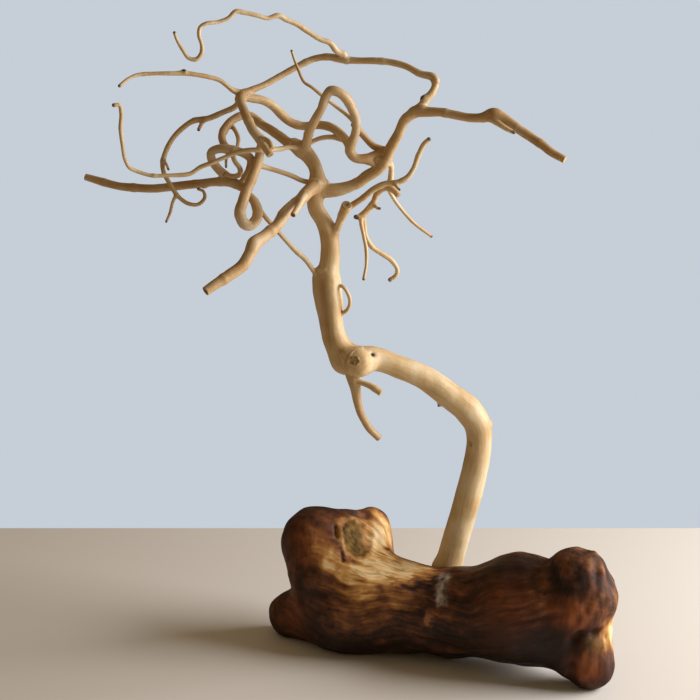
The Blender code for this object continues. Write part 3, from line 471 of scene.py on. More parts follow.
HOLLOWS = [
    ((-92.5, 5.2, 106.2), (-91.1, -1, 99.3), 1.25, -3.2), ((-86.8, -10, 89), (-86, -16, 82.5), 1.7, -2.4),
    ((-1.4, -43, 69.5), (-1.2, -48.5, 65), 1.3, -2.4), ((-75, 10, 97), (-71, 3, 90), 8.5, -2.6),
    ((-66, 31, 105.5), (-80, 24, 112), 3.4, -2.4), ((97.9, -101.9, 45.4), (97.1, -100.4, 25), 4.6, -2.8),
    ((97.1, -100.4, 25), (100, -94, 6), 4.4, -2.6), ((98, -103, 47), (104, -103.3, 51), 4.6, -2.4),
    ((104, -103.3, 51), (115.4, -101, 52), 4.6, -2.6), ((115.4, -101, 52), (126, -95, 46), 4.4, -2.2),
    ((82, -75.5, 102), (84.6, -89.6, 93), 4.5, -1.8), ((84.6, -89.6, 93), (82, -95, 78), 4.5, -1.6),
    ((126, -86, 97), (128, -96, 88), 4.0, -1.4), ((106, -79, 113), (92, -97, 85), 3.0, -1.0),
    ((116, -95, 99), (107, -103, 72), 2.8, -0.9), ((-121.7, -12.6, 74.7), (-121, -12, 45.5), 4.0, -1.2),
]
# Painted shade: hollows narrower than SPLIT_REACH are painted near black inside
SPLIT_REACH = 2.0            # hollows narrower than this are open splits, dark inside
# Patches of the base: two ends, reach
PALE_SCAR = ((-0.5, -31, 74), (-4, -50, 60), 5.2)
PINK_SPOT = ((-14, -52, 47), (-16.5, -53.5, 42), 3.4)
LICHEN = ((-77.5, 7, 99.5), (-73.5, -2, 91), 11.0)
KNOB_LICHEN = ((114, -102, 45), (122, -98, 40), 5.5)
RIM_PLACE, RIM_WIDTH = 1.16, 0.20   # of the lichen's pale rim, as shares of its reach

# The burr, where the grain stands steep and broken: the tips of the base's two ends, all that is
# to the right of BURR_FROM and two spots at the left: (right, back, up), reach, amount
BURR_FROM, BURR_FADE = 82, 5
BURR_SPOTS = [((-118, 2, 92), 26, 0.9), ((-126, -6, 60), 16, 0.6)]
# Russet places that glow through the dark wood
EMBERS = [
    ((87, -101, 70), 12, 0.9), ((106, -104, 66), 14, 0.9), ((112, -104, 24), 16, 1.0),
    ((-116, -4, 92), 22, 0.6), ((-128, -4, 30), 20, 0.8), ((44, -84, 68), 26, 0.7),
]

# The bore under the base in which the screw's head sits
BORE_RADIUS = 6.25
BORE_ROOF = 14.1
BORE_SNAP = 0.85


def ripples(points, wavelength, seed, waves=9):
    """Soft unevenness between about -1 and 1: the mean of sine waves that cross the points in
    fixed random directions, each about one wavelength long."""
    chance = np.random.default_rng(seed)
    ways = chance.normal(size=(waves, 3))
    ways /= np.linalg.norm(ways, axis=1)[:, None]
    ways *= 2 * np.pi / (wavelength * chance.uniform(0.7, 1.5, (waves, 1)))
    start = chance.uniform(0, 2 * np.pi, waves)
    return np.sin(points @ ways.T + start).sum(axis=-1) / math.sqrt(waves)


def smooth_route(route):
    """A cubic through the route's points, whose slope at each point is a weighted mean of the
    slopes on its two sides and whose pace follows the square root of the distance between points.
    Read evenly along its length, closer on thin limbs: rows of (x, y, z, diameter)."""
    rows = np.array(route, float)
    gaps = np.linalg.norm(np.diff(rows[:, :3], axis=0), axis=1)
    knots = np.concatenate([[0], np.cumsum(np.sqrt(gaps))])
    slopes = np.gradient(rows, knots, axis=0)
    t = np.linspace(0, knots[-1], 40 * len(knots))
    i = np.clip(np.searchsorted(knots, t, side="right") - 1, 0, len(knots) - 2)
    span = (knots[i + 1] - knots[i])[:, None]
    u = (t - knots[i])[:, None] / span
    fine = ((2 * u**3 - 3 * u**2 + 1) * rows[i] + (u**3 - 2 * u**2 + u) * span * slopes[i]
            + (3 * u**2 - 2 * u**3) * rows[i + 1] + (u**3 - u**2) * span * slopes[i + 1])
    steps = np.linalg.norm(np.diff(fine[:, :3], axis=0), axis=1)
    spacing = np.maximum(RING_STEP, THICK_STEP * fine[1:, 3])
    count = np.concatenate([[0], np.cumsum(steps / spacing)])
    wanted = np.linspace(0, count[-1], max(8, int(round(count[-1])) + 1))
    return np.column_stack([np.interp(wanted, count, fine[:, k]) for k in range(4)])


def frames(centres):
    """Tangent, side and above at each ring. The side direction is carried from ring to ring and
    only tipped with the tangent, so that the surface never twists."""
    tangent = np.gradient(centres, axis=0)
    tangent /= np.linalg.norm(tangent, axis=1)[:, None]
    side = np.empty_like(tangent)
    start = np.cross(tangent[0], (0.31, 0.24, 0.92))
    side[0] = start / np.linalg.norm(start)
    for ring in range(1, len(centres)):
        carried = side[ring - 1] - tangent[ring] * (side[ring - 1] @ tangent[ring])
        side[ring] = carried / np.linalg.norm(carried)
    return tangent, side, np.cross(tangent, side)


def beyond(points, rings):
    """Distance from the points to the surface of a limb: from its axis, less its radius there."""
    start, along = rings[:-1, :3], np.diff(rings[:, :3], axis=0)
    length = np.maximum(np.sum(along**2, axis=1), 1e-9)
    share = np.clip((points @ along.T - np.sum(start * along, axis=1)) / length, 0, 1)
    squared = np.sum(points**2, axis=1)[:, None] - 2 * points @ start.T + np.sum(start**2, axis=1)
    squared = squared - 2 * share * (points @ along.T - np.sum(start * along, axis=1)) + share**2 * length
    radius = (rings[:-1, 3] + share * np.diff(rings[:, 3])) / 2
    return np.min(np.sqrt(np.maximum(squared, 0)) - radius, axis=1)


def capsule(points, start, end):
    """Distance from the points to the line between two points."""
    start, along = np.array(start, float), np.array(end, float) - np.array(start, float)
    share = np.clip((points - start) @ along / (along @ along), 0, 1)
    return np.linalg.norm(points - start - share[..., None] * along, axis=-1)


def fattened(points, outward, other, melt):
    """How far surface points move outwards so that two limbs melt together: until
    -melt x log(exp(-own distance / melt) + exp(-other's distance / melt)) is zero."""
    move = np.zeros(len(points))
    for _ in range(MELT_STEPS):
        apart = beyond(points + outward * move[:, None], other)
        field = -melt * np.log(np.exp(-move / melt) + np.exp(-np.clip(apart, -30, 60) / melt))
        move = np.clip(move - field, 0, 2.2 * melt)
    return move, beyond(points, other)


def closed_grid(name, rings, first, last, marks, finish):
    """A closed mesh from rings of points, each end closed at a pole, with its marks: values at
    every point in the order ring by ring, then the first pole and the last."""
    count, sides = rings.shape[:2]
    verts = np.concatenate([rings.reshape(-1, 3), [first, last]]) * MM + SEAT
    verts = np.clip(verts, *cad_box)
    place = np.arange(count * sides).reshape(count, sides)
    here, there = place, np.roll(place, -1, axis=1)
    quads = np.stack([here[:-1], there[:-1], there[1:], here[1:]], axis=-1).reshape(-1, 4)
    pole = np.full(sides, count * sides)
    fans = np.concatenate([np.stack([pole, there[0], here[0]], axis=-1),
                           np.stack([pole + 1, here[-1], there[-1]], axis=-1)])
    mesh = bpy.data.meshes.new(name)
    mesh.from_pydata(verts.tolist(), [], quads.tolist() + fans.tolist())
    for label, values in marks.items():
        kind = "FLOAT_VECTOR" if np.ndim(values) == 2 else "FLOAT"
        layer = mesh.attributes.new(label, kind, "POINT")
        layer.data.foreach_set("vector" if kind == "FLOAT_VECTOR" else "value",
                               np.ascontiguousarray(values, np.float32).ravel())
    mesh.shade_smooth()
    mesh.materials.append(finish)
    made = bpy.data.objects.new(name, mesh)
    bpy.context.scene.collection.objects.link(made)
    return made


def joints_along(rings, travel, seed):
    """Swelling at the bud joints of a limb: narrow bells 16 to 34 mm apart."""
    chance = np.random.default_rng(seed)
    places = np.cumsum(chance.uniform(16, 34, 40))
    swell = np.zeros(len(rings))
    for place in places[places < travel[-1] - 4]:
        swell += chance.uniform(0.03, 0.11) * np.exp(-((travel - place) / 2.1) ** 2)
    return swell


def limb(name, rings, neighbours, finish, seed):
    """One limb. Ring i stands square to the smooth curve through the route's points; the point at
    angle a lies out from the curve by the route's radius x (1 + slow unevenness + flutes + bud
    joints), is pushed out where another limb runs in, and is raised or dented at each bud by
    height x exp(-(distance / reach)^2). Past the ends the rings close, flat for a sawn end and
    round for a tip."""
    centres, radius = rings[:, :3], rings[:, 3] / 2
    travel = np.concatenate([[0], np.cumsum(np.linalg.norm(np.diff(centres, axis=0), axis=1))])
    tangent, side, above = frames(centres)
    sides = int(np.clip(2 * np.pi * radius.max() / ROUND_STEP, FEWEST_SIDES, MOST_SIDES))
    angle = np.linspace(0, 2 * np.pi, sides, endpoint=False)[None, :, None]
    outward = np.cos(angle) * side[:, None] + np.sin(angle) * above[:, None]
    around = np.concatenate([np.cos(angle), np.sin(angle)], axis=-1) * radius[:, None, None]
    travelled = np.broadcast_to(travel[:, None, None], (len(rings), sides, 1))
    grain = np.concatenate([around, travelled], axis=-1)
    plain = centres[:, None] + outward * radius[:, None, None]
    slim = float(np.clip(4.5 / radius.mean(), 0.30, 1.0))
    swell = slim * (0.032 * ripples(plain, 30, seed) + 0.024 * ripples(plain, 11, seed + 1))
    swell = swell + 0.014 * ripples(grain * (1.0, 1.0, 0.05) / radius.mean(), 2.6, seed + 2)
    swell = swell + joints_along(rings, travel, seed)[:, None] * (radius.max() < 6)
    if name == "trunk_upper":
        swell = swell + flutes(plain)
    points = plain + outward * (radius[:, None] * swell)[..., None]

    flat, out = points.reshape(-1, 3), outward.reshape(-1, 3)
    push, tan_and_crease_shade = np.zeros(len(flat)), np.full(len(flat), TAN_AND_SHADE.get(name, 0.0))
    # Painted shade: the upper trunk's groove is darkened in the colour as well as sunk
    if name == "trunk_upper":
        tan_and_crease_shade = np.maximum(tan_and_crease_shade, groove_share(flat))
    # Painted shade: near each limb that runs in, the colour is darkened and warmed towards the fork
    for other, melt in neighbours:
        near = beyond(flat, other[::4]) < 7 * melt + 1
        if near.any():
            move, apart = fattened(flat[near], out[near], other, melt)
            push[near] = np.maximum(push[near], move)
            tan_and_crease_shade[near] = np.maximum(tan_and_crease_shade[near], 0.64 * np.exp(-np.abs(apart) / (1.1 * melt)))
    stain = np.zeros(len(flat))
    for near, reach, height, dark in BUDS.get(name, ()):
        spot = flat[np.argmin(np.linalg.norm(flat - near, axis=1))]
        bell = np.exp(-(np.linalg.norm(flat - spot, axis=1) / reach) ** 2)
        push += height * bell
        stain = np.maximum(stain, dark * np.clip(1.5 * bell, 0, 1) ** 1.5)
    points = (flat + out * push[:, None]).reshape(points.shape)

    if name in BROKEN:
        turn = np.linspace(0, 1.2, 12)[1:]
        rise = np.append(np.sin(turn) * 0.72, [0.74, 0.64, 0.66, 0.62]) * radius[-1]
        share = np.append(np.cos(turn), [0.33, 0.26, 0.17, 0.07])
    elif name in SAWN:
        ease = min(0.5, 0.12 * radius[-1])
        rise = np.array([0.0, 0.5, 0.9, 1.0, 1.0, 0.97, 0.9]) * ease
        share = np.array([1.0, 0.985, 0.95, 0.88, 0.6, 0.3, 0.1])
    else:
        turn = np.linspace(0, np.pi / 2, 8)[1:]
        rise, share = np.sin(turn) * radius[-1] * 0.9, np.cos(turn)
        share[-1] = 0.08
    middle = points[-1].mean(axis=0)
    spokes = points[-1] - middle
    cap = middle + spokes[None] * share[:, None, None] + tangent[-1] * rise[:, None, None]
    if name in BROKEN:
        rough = 0.5 * ripples(cap, 4, seed + 5) + 0.4 * ripples(cap, 2.0, seed + 6)
        cap = cap + tangent[-1] * (rough * (share < 0.36)[:, None])[..., None]
    root_share = np.array([0.1, 0.4, 0.75, 0.95])
    root_middle = points[0].mean(axis=0)
    back = tangent[0] * radius[0] * 0.35
    root = root_middle + (points[0] - root_middle)[None] * root_share[:, None, None] \
        - back * (1 - root_share)[:, None, None]

    whole = np.concatenate([root, points, cap])
    ends = [root_middle - back, cap[-1].mean(axis=0)]
    marks = limb_marks(name, grain, travel, radius, stain, tan_and_crease_shade, len(root), share, sides, seed)
    return closed_grid("hazel_" + name, whole, ends[0], ends[1], marks, finish)


def groove_share(points):
    """How deep in the upper trunk's long groove the points lie, 0 to 1: a bell across a line that
    leans up the front, gentle on its left, steep on its right, fading out at its two ends."""
    line = np.interp(points[..., 2], (272, 290, 310, 331), (-96.6, -98.8, -101.4, -103.6))
    across = points[..., 0] - line
    bell = np.exp(-(across / np.where(across < 0, 4.6, 2.5)) ** 2)
    ends = np.clip((points[..., 2] - 268) / 22, 0, 1) * np.clip((333 - points[..., 2]) / 9, 0, 1)
    return bell * ends ** 0.7 * (points[..., 1] < -20)


def flutes(points):
    """How far the upper trunk's skin lies in or out at its long groove, the strand to the groove's
    right and the lip where the trunk swells, as shares of the radius."""
    strand = capsule(points, (-95.2, -27.5, 332), (-91.5, -29, 288))
    lip = capsule(points, (-109, -18, 332), (-101, -27, 334.5))
    return -0.27 * groove_share(points) + 0.11 * np.exp(-(strand / 4.4) ** 2) \
        + 0.10 * np.exp(-(lip / 2.0) ** 2)


def limb_marks(name, grain, travel, radius, stain, tan_and_crease_shade, rooted, share, sides, seed):
    """The values that the wood's colour is made from, at every point of a limb, painted shade among them."""
    count = len(travel)
    tips = len(share)
    across = grain[..., :2]
    ahead = travel[-1] + (1 - share) * radius[-1] * 0.6
    first = np.concatenate([np.repeat(across[:1], rooted, axis=0),
                            np.full((rooted, sides, 1), travel[0])], axis=-1)
    last = np.concatenate([across[-1:] * share[:, None, None],
                           np.broadcast_to(ahead[:, None, None], (tips, sides, 1))], axis=-1)
    threads = np.concatenate([first, grain, last]).reshape(-1, 3)
    threads = np.concatenate([threads, [[0, 0, travel[0]], [0, 0, ahead[-1]]]])
    threads = threads + (0, 0, 61.0 * seed)

    cut = np.zeros((rooted + count + tips, sides))
    dark = np.zeros_like(cut)
    tan_and_shade = np.zeros_like(cut)
    dark[rooted:rooted + count] = stain.reshape(count, sides)
    # Painted shade of the forks and the groove, with the tan that is partly bark and partly painted shade
    tan_and_shade[rooted:rooted + count] = tan_and_crease_shade.reshape(count, sides)
    if name in SAWN:
        cut[-tips:] = np.clip((1.02 - share) * 8, 0, 1)[:, None]
        dark[-tips:] = SAWN[name] * (0.50 + 0.50 * np.exp(-(share / 0.45) ** 2))[:, None] \
            * np.clip((1.02 - share) * 8, 0, 1)[:, None]
    elif name in BROKEN:
        cut[-tips:] = (share < 0.36)[:, None]
        dark[-tips:] = 0.45 * ((ripples(last, 3.0, seed) > 0.3) & (share < 0.4)[:, None])
    elif name not in RUN_IN:
        reach = np.clip((travel[-1] - travel) / 3.2, 0, 1)
        dark[rooted:rooted + count] = np.maximum(
            dark[rooted:rooted + count], 0.7 * (1 - reach[:, None]) ** 2)
        dark[-tips:] = 0.75
    poles = {"cut": (0, cut[-1, 0]), "stain": (0, dark[-1, 0]), "tan_and_shade": (0, 0)}
    marks = {"grain": threads}
    for label, values in (("cut", cut), ("stain", dark), ("tan_and_shade", tan_and_shade)):
        marks[label] = np.concatenate([values.ravel(), poles[label]])
    return marks


def melted(points):
    """Distance from the melted lumps: -melt x log(sum of exp((radius - distance) / melt)) over the
    capsules that the base is made of. Below zero inside the wood."""
    total = 0
    for start, end, start_radius, end_radius in LUMPS.values():
        start, along = np.array(start, float), np.array(end, float) - np.array(start, float)
        share = np.clip((points - start) @ along / (along @ along), 0, 1)
        away = np.linalg.norm(points - start - share[..., None] * along, axis=-1)
        total = total + np.exp((start_radius + (end_radius - start_radius) * share - away) / MELT)
    return -MELT * np.log(total)


BODY_RINGS = 210
FAN_RINGS = 62
RING_POINTS = 260
WALK_STEPS, SMOOTHINGS = 40, 10


def base_surface():
    """Rays leave the spine all along it, square to the line between its two ends, and fan out at
    those ends. Each walks outwards by its distance from the melted lumps' surface until it lies
    on it."""
    spine = np.array(SPINE, float)
    length = np.concatenate([[0], np.cumsum(np.linalg.norm(np.diff(spine, axis=0), axis=1))])
    place = np.concatenate([np.zeros(FAN_RINGS), np.linspace(0, length[-1], BODY_RINGS),
                            np.full(FAN_RINGS, length[-1])])
    quarter = np.linspace(0, np.pi / 2, FAN_RINGS + 2)[1:-1]
    turn = np.concatenate([np.pi - quarter, np.full(BODY_RINGS, np.pi / 2), quarter[::-1]])
    origin = np.column_stack([np.interp(place, length, spine[:, k]) for k in range(3)])[:, None]
    along = (spine[-1] - spine[0]) / np.linalg.norm(spine[-1] - spine[0])
    side = np.cross(along, (0, 0, 1))
    side /= np.linalg.norm(side)
    above = np.cross(side, along)
    angle = np.linspace(0, 2 * np.pi, RING_POINTS, endpoint=False)[None, :, None]
    ring = np.cos(angle) * side + np.sin(angle) * above
    rays = np.cos(turn)[:, None, None] * along + np.sin(turn)[:, None, None] * ring
    reach = walk_out(origin, rays)
    for _ in range(SMOOTHINGS):
        reach = (2 * reach + np.roll(reach, 1, axis=1) + np.roll(reach, -1, axis=1)) / 4
        reach[1:-1] = (2 * reach[1:-1] + reach[:-2] + reach[2:]) / 4
    grid = origin + rays * reach[..., None]
    poles = [grid[0].mean(axis=0), grid[-1].mean(axis=0)]
    fan = (turn - np.pi / 2) * -75
    threads = np.concatenate([np.broadcast_to(np.cos(angle) * 40, (len(place), RING_POINTS, 1)),
                              np.broadcast_to(np.sin(angle) * 40, (len(place), RING_POINTS, 1)),
                              np.broadcast_to((place + fan)[:, None, None],
                                              (len(place), RING_POINTS, 1))], axis=-1)
    fanned = np.abs(turn - np.pi / 2) / (np.pi / 2)
    return grid, poles, threads, np.broadcast_to(fanned[:, None], grid.shape[:2])


def walk_out(origin, rays):
    """How far each ray goes before it leaves the melted lumps."""
    reach = np.full(np.broadcast(origin[..., 0], rays[..., 0]).shape, 1.0)
    for _ in range(WALK_STEPS):
        reach = reach - melted(origin + rays * reach[..., None]) * 0.93
    return reach


def outward_of(points):
    """Unit direction in which the distance from the melted lumps grows fastest."""
    slope = np.stack([melted(points + step) - melted(points - step) for step in np.eye(3) * 0.4],
                     axis=-1)
    return slope / np.linalg.norm(slope, axis=-1)[..., None]


def bells(points, spots):
    """Sum over the spots of amount x exp(-(distance / reach)^2)."""
    total = 0
    for spot, reach, amount in spots:
        total = total + amount * np.exp(-(np.linalg.norm(points - spot, axis=-1) / reach) ** 2)
    return total


def worn(points, threads, burr):
    """The base's own relief, outwards: lengthwise ridges that follow the grain, slow dents, the
    slanting furrows of the burr at each end, then the ridges and hollows that are there by name."""
    long_grain = threads * (1.0, 1.0, 0.10)
    relief = 0.50 * ripples(points, 34, 11) + 0.20 * ripples(points, 13, 12)
    relief = relief + (1 - burr) * (0.26 * ripples(long_grain, 9.0, 13) + 0.16 * ripples(long_grain, 4.2, 14))
    relief = relief + burr * (points[:, 0] > 0) * (0.34 * ripples(points @ SLANT, 11, 15)
                                                   + 0.10 * ripples(points @ SLANT, 5, 16))
    for start, end, reach, height in RIDGES + HOLLOWS:
        relief = relief + height * np.exp(-(capsule(points, start, end) / reach) ** 2)
    return relief


# Turns and stretches the burr's furrows: they run steeply from upper right to lower left
SLANT = np.array([[0.80, 0.10, 0.075], [0.10, 0.90, 0.03], [-0.45, 0.10, 0.12]])


def base_piece(finish):
    """The base: the melted lumps' surface moved outwards by its relief, sanded flat on the table,
    with the bore for the screw's head sunk into it."""
    grid, poles, threads, fanned = base_surface()
    count, sides = grid.shape[:2]
    points = np.concatenate([grid.reshape(-1, 3), poles])
    threads = threads.reshape(-1, 3)
    threads = np.concatenate([threads, [threads[0] * (0, 0, 1), threads[-1] * (0, 0, 1)]])
    fanned = np.append(fanned.ravel(), (1, 1))
    burr = np.maximum(1 / (1 + np.exp(-(points[:, 0] - BURR_FROM) / BURR_FADE)),
                      1 / (1 + np.exp(-(fanned - 0.5) / 0.08)))
    burr = np.clip(burr + bells(points, BURR_SPOTS), 0, 1)
    relief = worn(points, threads, burr)
    points = points + outward_of(points) * relief[:, None]
    points[:, 2] = np.maximum(points[:, 2], 0)
    # Below the head the bore's middle lies half as far right of the seat as the screw's box
    axis = ((screw_low + screw_high) / 2 - SEAT) / MM
    away = points[:, :2] - axis[:2] * (0.5, 1)
    apart = np.linalg.norm(away, axis=1)
    low = points[:, 2] < 0.8 * BORE_ROOF
    snapped = low & (np.abs(apart - BORE_RADIUS) < BORE_SNAP)
    points[snapped, :2] += (away * (BORE_RADIUS / np.maximum(apart, 1e-6) - 1)[:, None])[snapped]
    points[low & (apart < BORE_RADIUS), 2] = BORE_ROOF
    marks = base_marks(points, threads, relief, burr)
    rings = points[:-2].reshape(count, sides, 3)
    return closed_grid("root_wood_base", rings, points[-2], points[-1], marks, finish)


def base_marks(points, threads, relief, burr):
    """The values that the root wood's colour is made from, at every point of the base, painted shade and
    light among them.
    """
    wander = points + 2.6 * np.stack([ripples(points, 12, k) for k in (21, 22, 23)], axis=-1)
    gold_with_painted_light = 0.30 + bells(wander, GOLD_WITH_PAINTED_LIGHT)
    for start, end, reach, dark in VEINS_AND_VALLEY_SHADE:
        gold_with_painted_light = gold_with_painted_light - dark * np.exp(-(capsule(wander, start, end) / reach) ** 2)
    # Painted shade: darker towards the table and in the hollows of the relief, lighter on its ridges
    painted_low_shade = 1 / (1 + np.exp((points[:, 2] - 30) / 7))
    gold_with_painted_light = gold_with_painted_light - 0.16 * painted_low_shade + 0.05 * ripples(points, 40, 24) + 0.05 * np.clip(relief, -3, 2)
    # Painted shade inside the narrow splits
    painted_split_shade = np.zeros(len(points))
    for start, end, reach, height in HOLLOWS:
        if reach < SPLIT_REACH:
            painted_split_shade = np.maximum(painted_split_shade, np.exp(-(capsule(points, start, end) / (0.9 * reach)) ** 2))
    ragged = points + 1.2 * np.stack([ripples(points, 4.5, k) for k in (25, 26, 27)], axis=-1)
    scar = np.exp(-(capsule(ragged, *PALE_SCAR[:2]) / PALE_SCAR[2]) ** 4)
    pink = np.exp(-(capsule(ragged, *PINK_SPOT[:2]) / PINK_SPOT[2]) ** 2)
    patch = capsule(ragged, *LICHEN[:2]) / LICHEN[2]
    rim = np.exp(-((patch - RIM_PLACE) / RIM_WIDTH) ** 2)
    lichen = 1 / (1 + np.exp((patch - 0.98) / 0.05))
    lichen = np.maximum(lichen, 0.6 * np.exp(-(capsule(ragged, *KNOB_LICHEN[:2]) / KNOB_LICHEN[2]) ** 2))
    ember = np.clip(bells(wander, EMBERS), 0, 1)
    return {"grain": threads, "gold_with_painted_light": gold_with_painted_light, "painted_split_shade": painted_split_shade, "scar": scar, "pink": pink,
            "lichen": lichen, "rim": rim, "ember": ember, "burr": burr}


def linear(code, alpha=1.0):
    """An sRGB hex colour as linear red, green, blue, alpha."""
    parts = [int(code[i:i + 2], 16) / 255 for i in (1, 3, 5)]
    return (*[c / 12.92 if c <= 0.04045 else ((c + 0.055) / 1.055) ** 2.4 for c in parts], alpha)


def node(tree, kind, inputs=None, stops=None, **settings):
    """Adds a shader node: settings are its own properties, inputs are values or links by socket,
    stops are the places and colours of a colour ramp."""
    made = tree.nodes.new("ShaderNode" + kind)
    for key, value in settings.items():
        setattr(made, key, value)
    for place, code in stops or ():
        ramp = made.color_ramp.elements
        spot = ramp[0] if place == 0 else ramp[1] if place == 1 else ramp.new(place)
        spot.color = linear(code)
    for key, value in (inputs or {}).items():
        if isinstance(value, bpy.types.NodeSocket):
            tree.links.new(value, made.inputs[key])
        else:
            made.inputs[key].default_value = value
    return made


def new_material(name, **constants):
    """A material with its own principled shader, whose constants are set on its sockets."""
    made = bpy.data.materials.new(name)
    made.use_nodes = True
    shader = made.node_tree.nodes["Principled BSDF"]
    for key, value in constants.items():
        shader.inputs[key.replace("_", " ")].default_value = value
    return made, made.node_tree, shader


FACTOR, LOW, HIGH, MIXED = 0, 6, 7, 2  # sockets of a colour mix


def peeled_hazel():
    """Peeled, dried and lightly waxed hazel: pale straw with faint lengthwise threads, painted shade in the
    forks and the upper trunk's groove as a warmer darker brown, brown on some limbs partly from inner bark
    and partly as painted shade, dark at buds and tips, tan on a sawn face. The wax gives a soft satin light."""
    made, tree, shader = new_material("peeled waxed hazel", IOR=1.5, Coat_Weight=0.05,
                                      Coat_Roughness=0.35, Specular_IOR_Level=0.34)
    grain = node(tree, "Attribute", attribute_name="grain").outputs["Vector"]
    cut = node(tree, "Attribute", attribute_name="cut").outputs["Fac"]
    stain = node(tree, "Attribute", attribute_name="stain").outputs["Fac"]
    tan_and_shade = node(tree, "Attribute", attribute_name="tan_and_shade").outputs["Fac"]
    place = node(tree, "TexCoord").outputs["Object"]
    # Threads of the wood: about 1 mm across and 20 mm long
    threads = node(tree, "Mapping", {"Vector": grain, "Scale": (1.0, 1.0, 0.06)})
    fine = node(tree, "TexNoise", {"Vector": threads.outputs[0], "Scale": 0.8, "Detail": 2.0,
                                   "Roughness": 0.5})
    # Clouds of warmer and paler wood, 20 to 40 mm across
    cloud = node(tree, "TexNoise", {"Vector": place, "Scale": 34.0, "Detail": 3.0})
    speck = node(tree, "TexNoise", {"Vector": place, "Scale": 420.0, "Detail": 2.0})
    blend = node(tree, "Math", {0: fine.outputs[0], 1: 0.5, 2: cloud.outputs[0]},
                 operation="MULTIPLY_ADD")
    tone = node(tree, "MapRange", {"Value": blend.outputs[0], "From Min": 0.38, "From Max": 1.12})
    wood = node(tree, "ValToRGB", {0: tone.outputs[0]},
                stops=[(0, "#ad8450"), (1, "#eadbbc"), (0.25, "#c29d69"), (0.5, "#d4b785"),
                       (0.8, "#dfc9a2")])
    # Painted shade of the forks and the groove, and the tan that is partly bark and partly painted shade:
    # mixed towards a darker amber brown
    amber = node(tree, "Math", {0: tan_and_shade, 1: 0.70}, operation="MULTIPLY")
    forked = node(tree, "Mix", {FACTOR: amber.outputs[0], LOW: wood.outputs[0],
                                HIGH: linear("#a5733a")}, data_type="RGBA")
    face = node(tree, "ValToRGB", {0: fine.outputs[0]}, stops=[(0, "#9c7644"), (1, "#e3c692")])
    ended = node(tree, "Mix", {FACTOR: cut, LOW: forked.outputs[MIXED], HIGH: face.outputs[0]},
                 data_type="RGBA")
    ragged = node(tree, "Math", {0: speck.outputs[0], 1: 0.5, 2: stain}, operation="MULTIPLY_ADD")
    dark = node(tree, "MapRange", {"Value": ragged.outputs[0], "From Min": 0.44, "From Max": 1.15})
    marked = node(tree, "Mix", {FACTOR: dark.outputs[0], LOW: ended.outputs[MIXED],
                                HIGH: linear("#2a1a10")}, data_type="RGBA")
    rough = node(tree, "MapRange", {"Value": fine.outputs[0], "To Min": 0.40, "To Max": 0.58})
    tree.links.new(marked.outputs[MIXED], shader.inputs["Base Color"])
    tree.links.new(rough.outputs[0], shader.inputs["Roughness"])
    # Soft unevenness about 4 mm across
    wavy = node(tree, "TexNoise", {"Vector": place, "Scale": 260.0, "Detail": 1.0})
    relief = node(tree, "Bump", {"Height": wavy.outputs[0], "Strength": 0.3, "Distance": 0.0008})
    tree.links.new(relief.outputs[0], shader.inputs["Normal"])
    return made


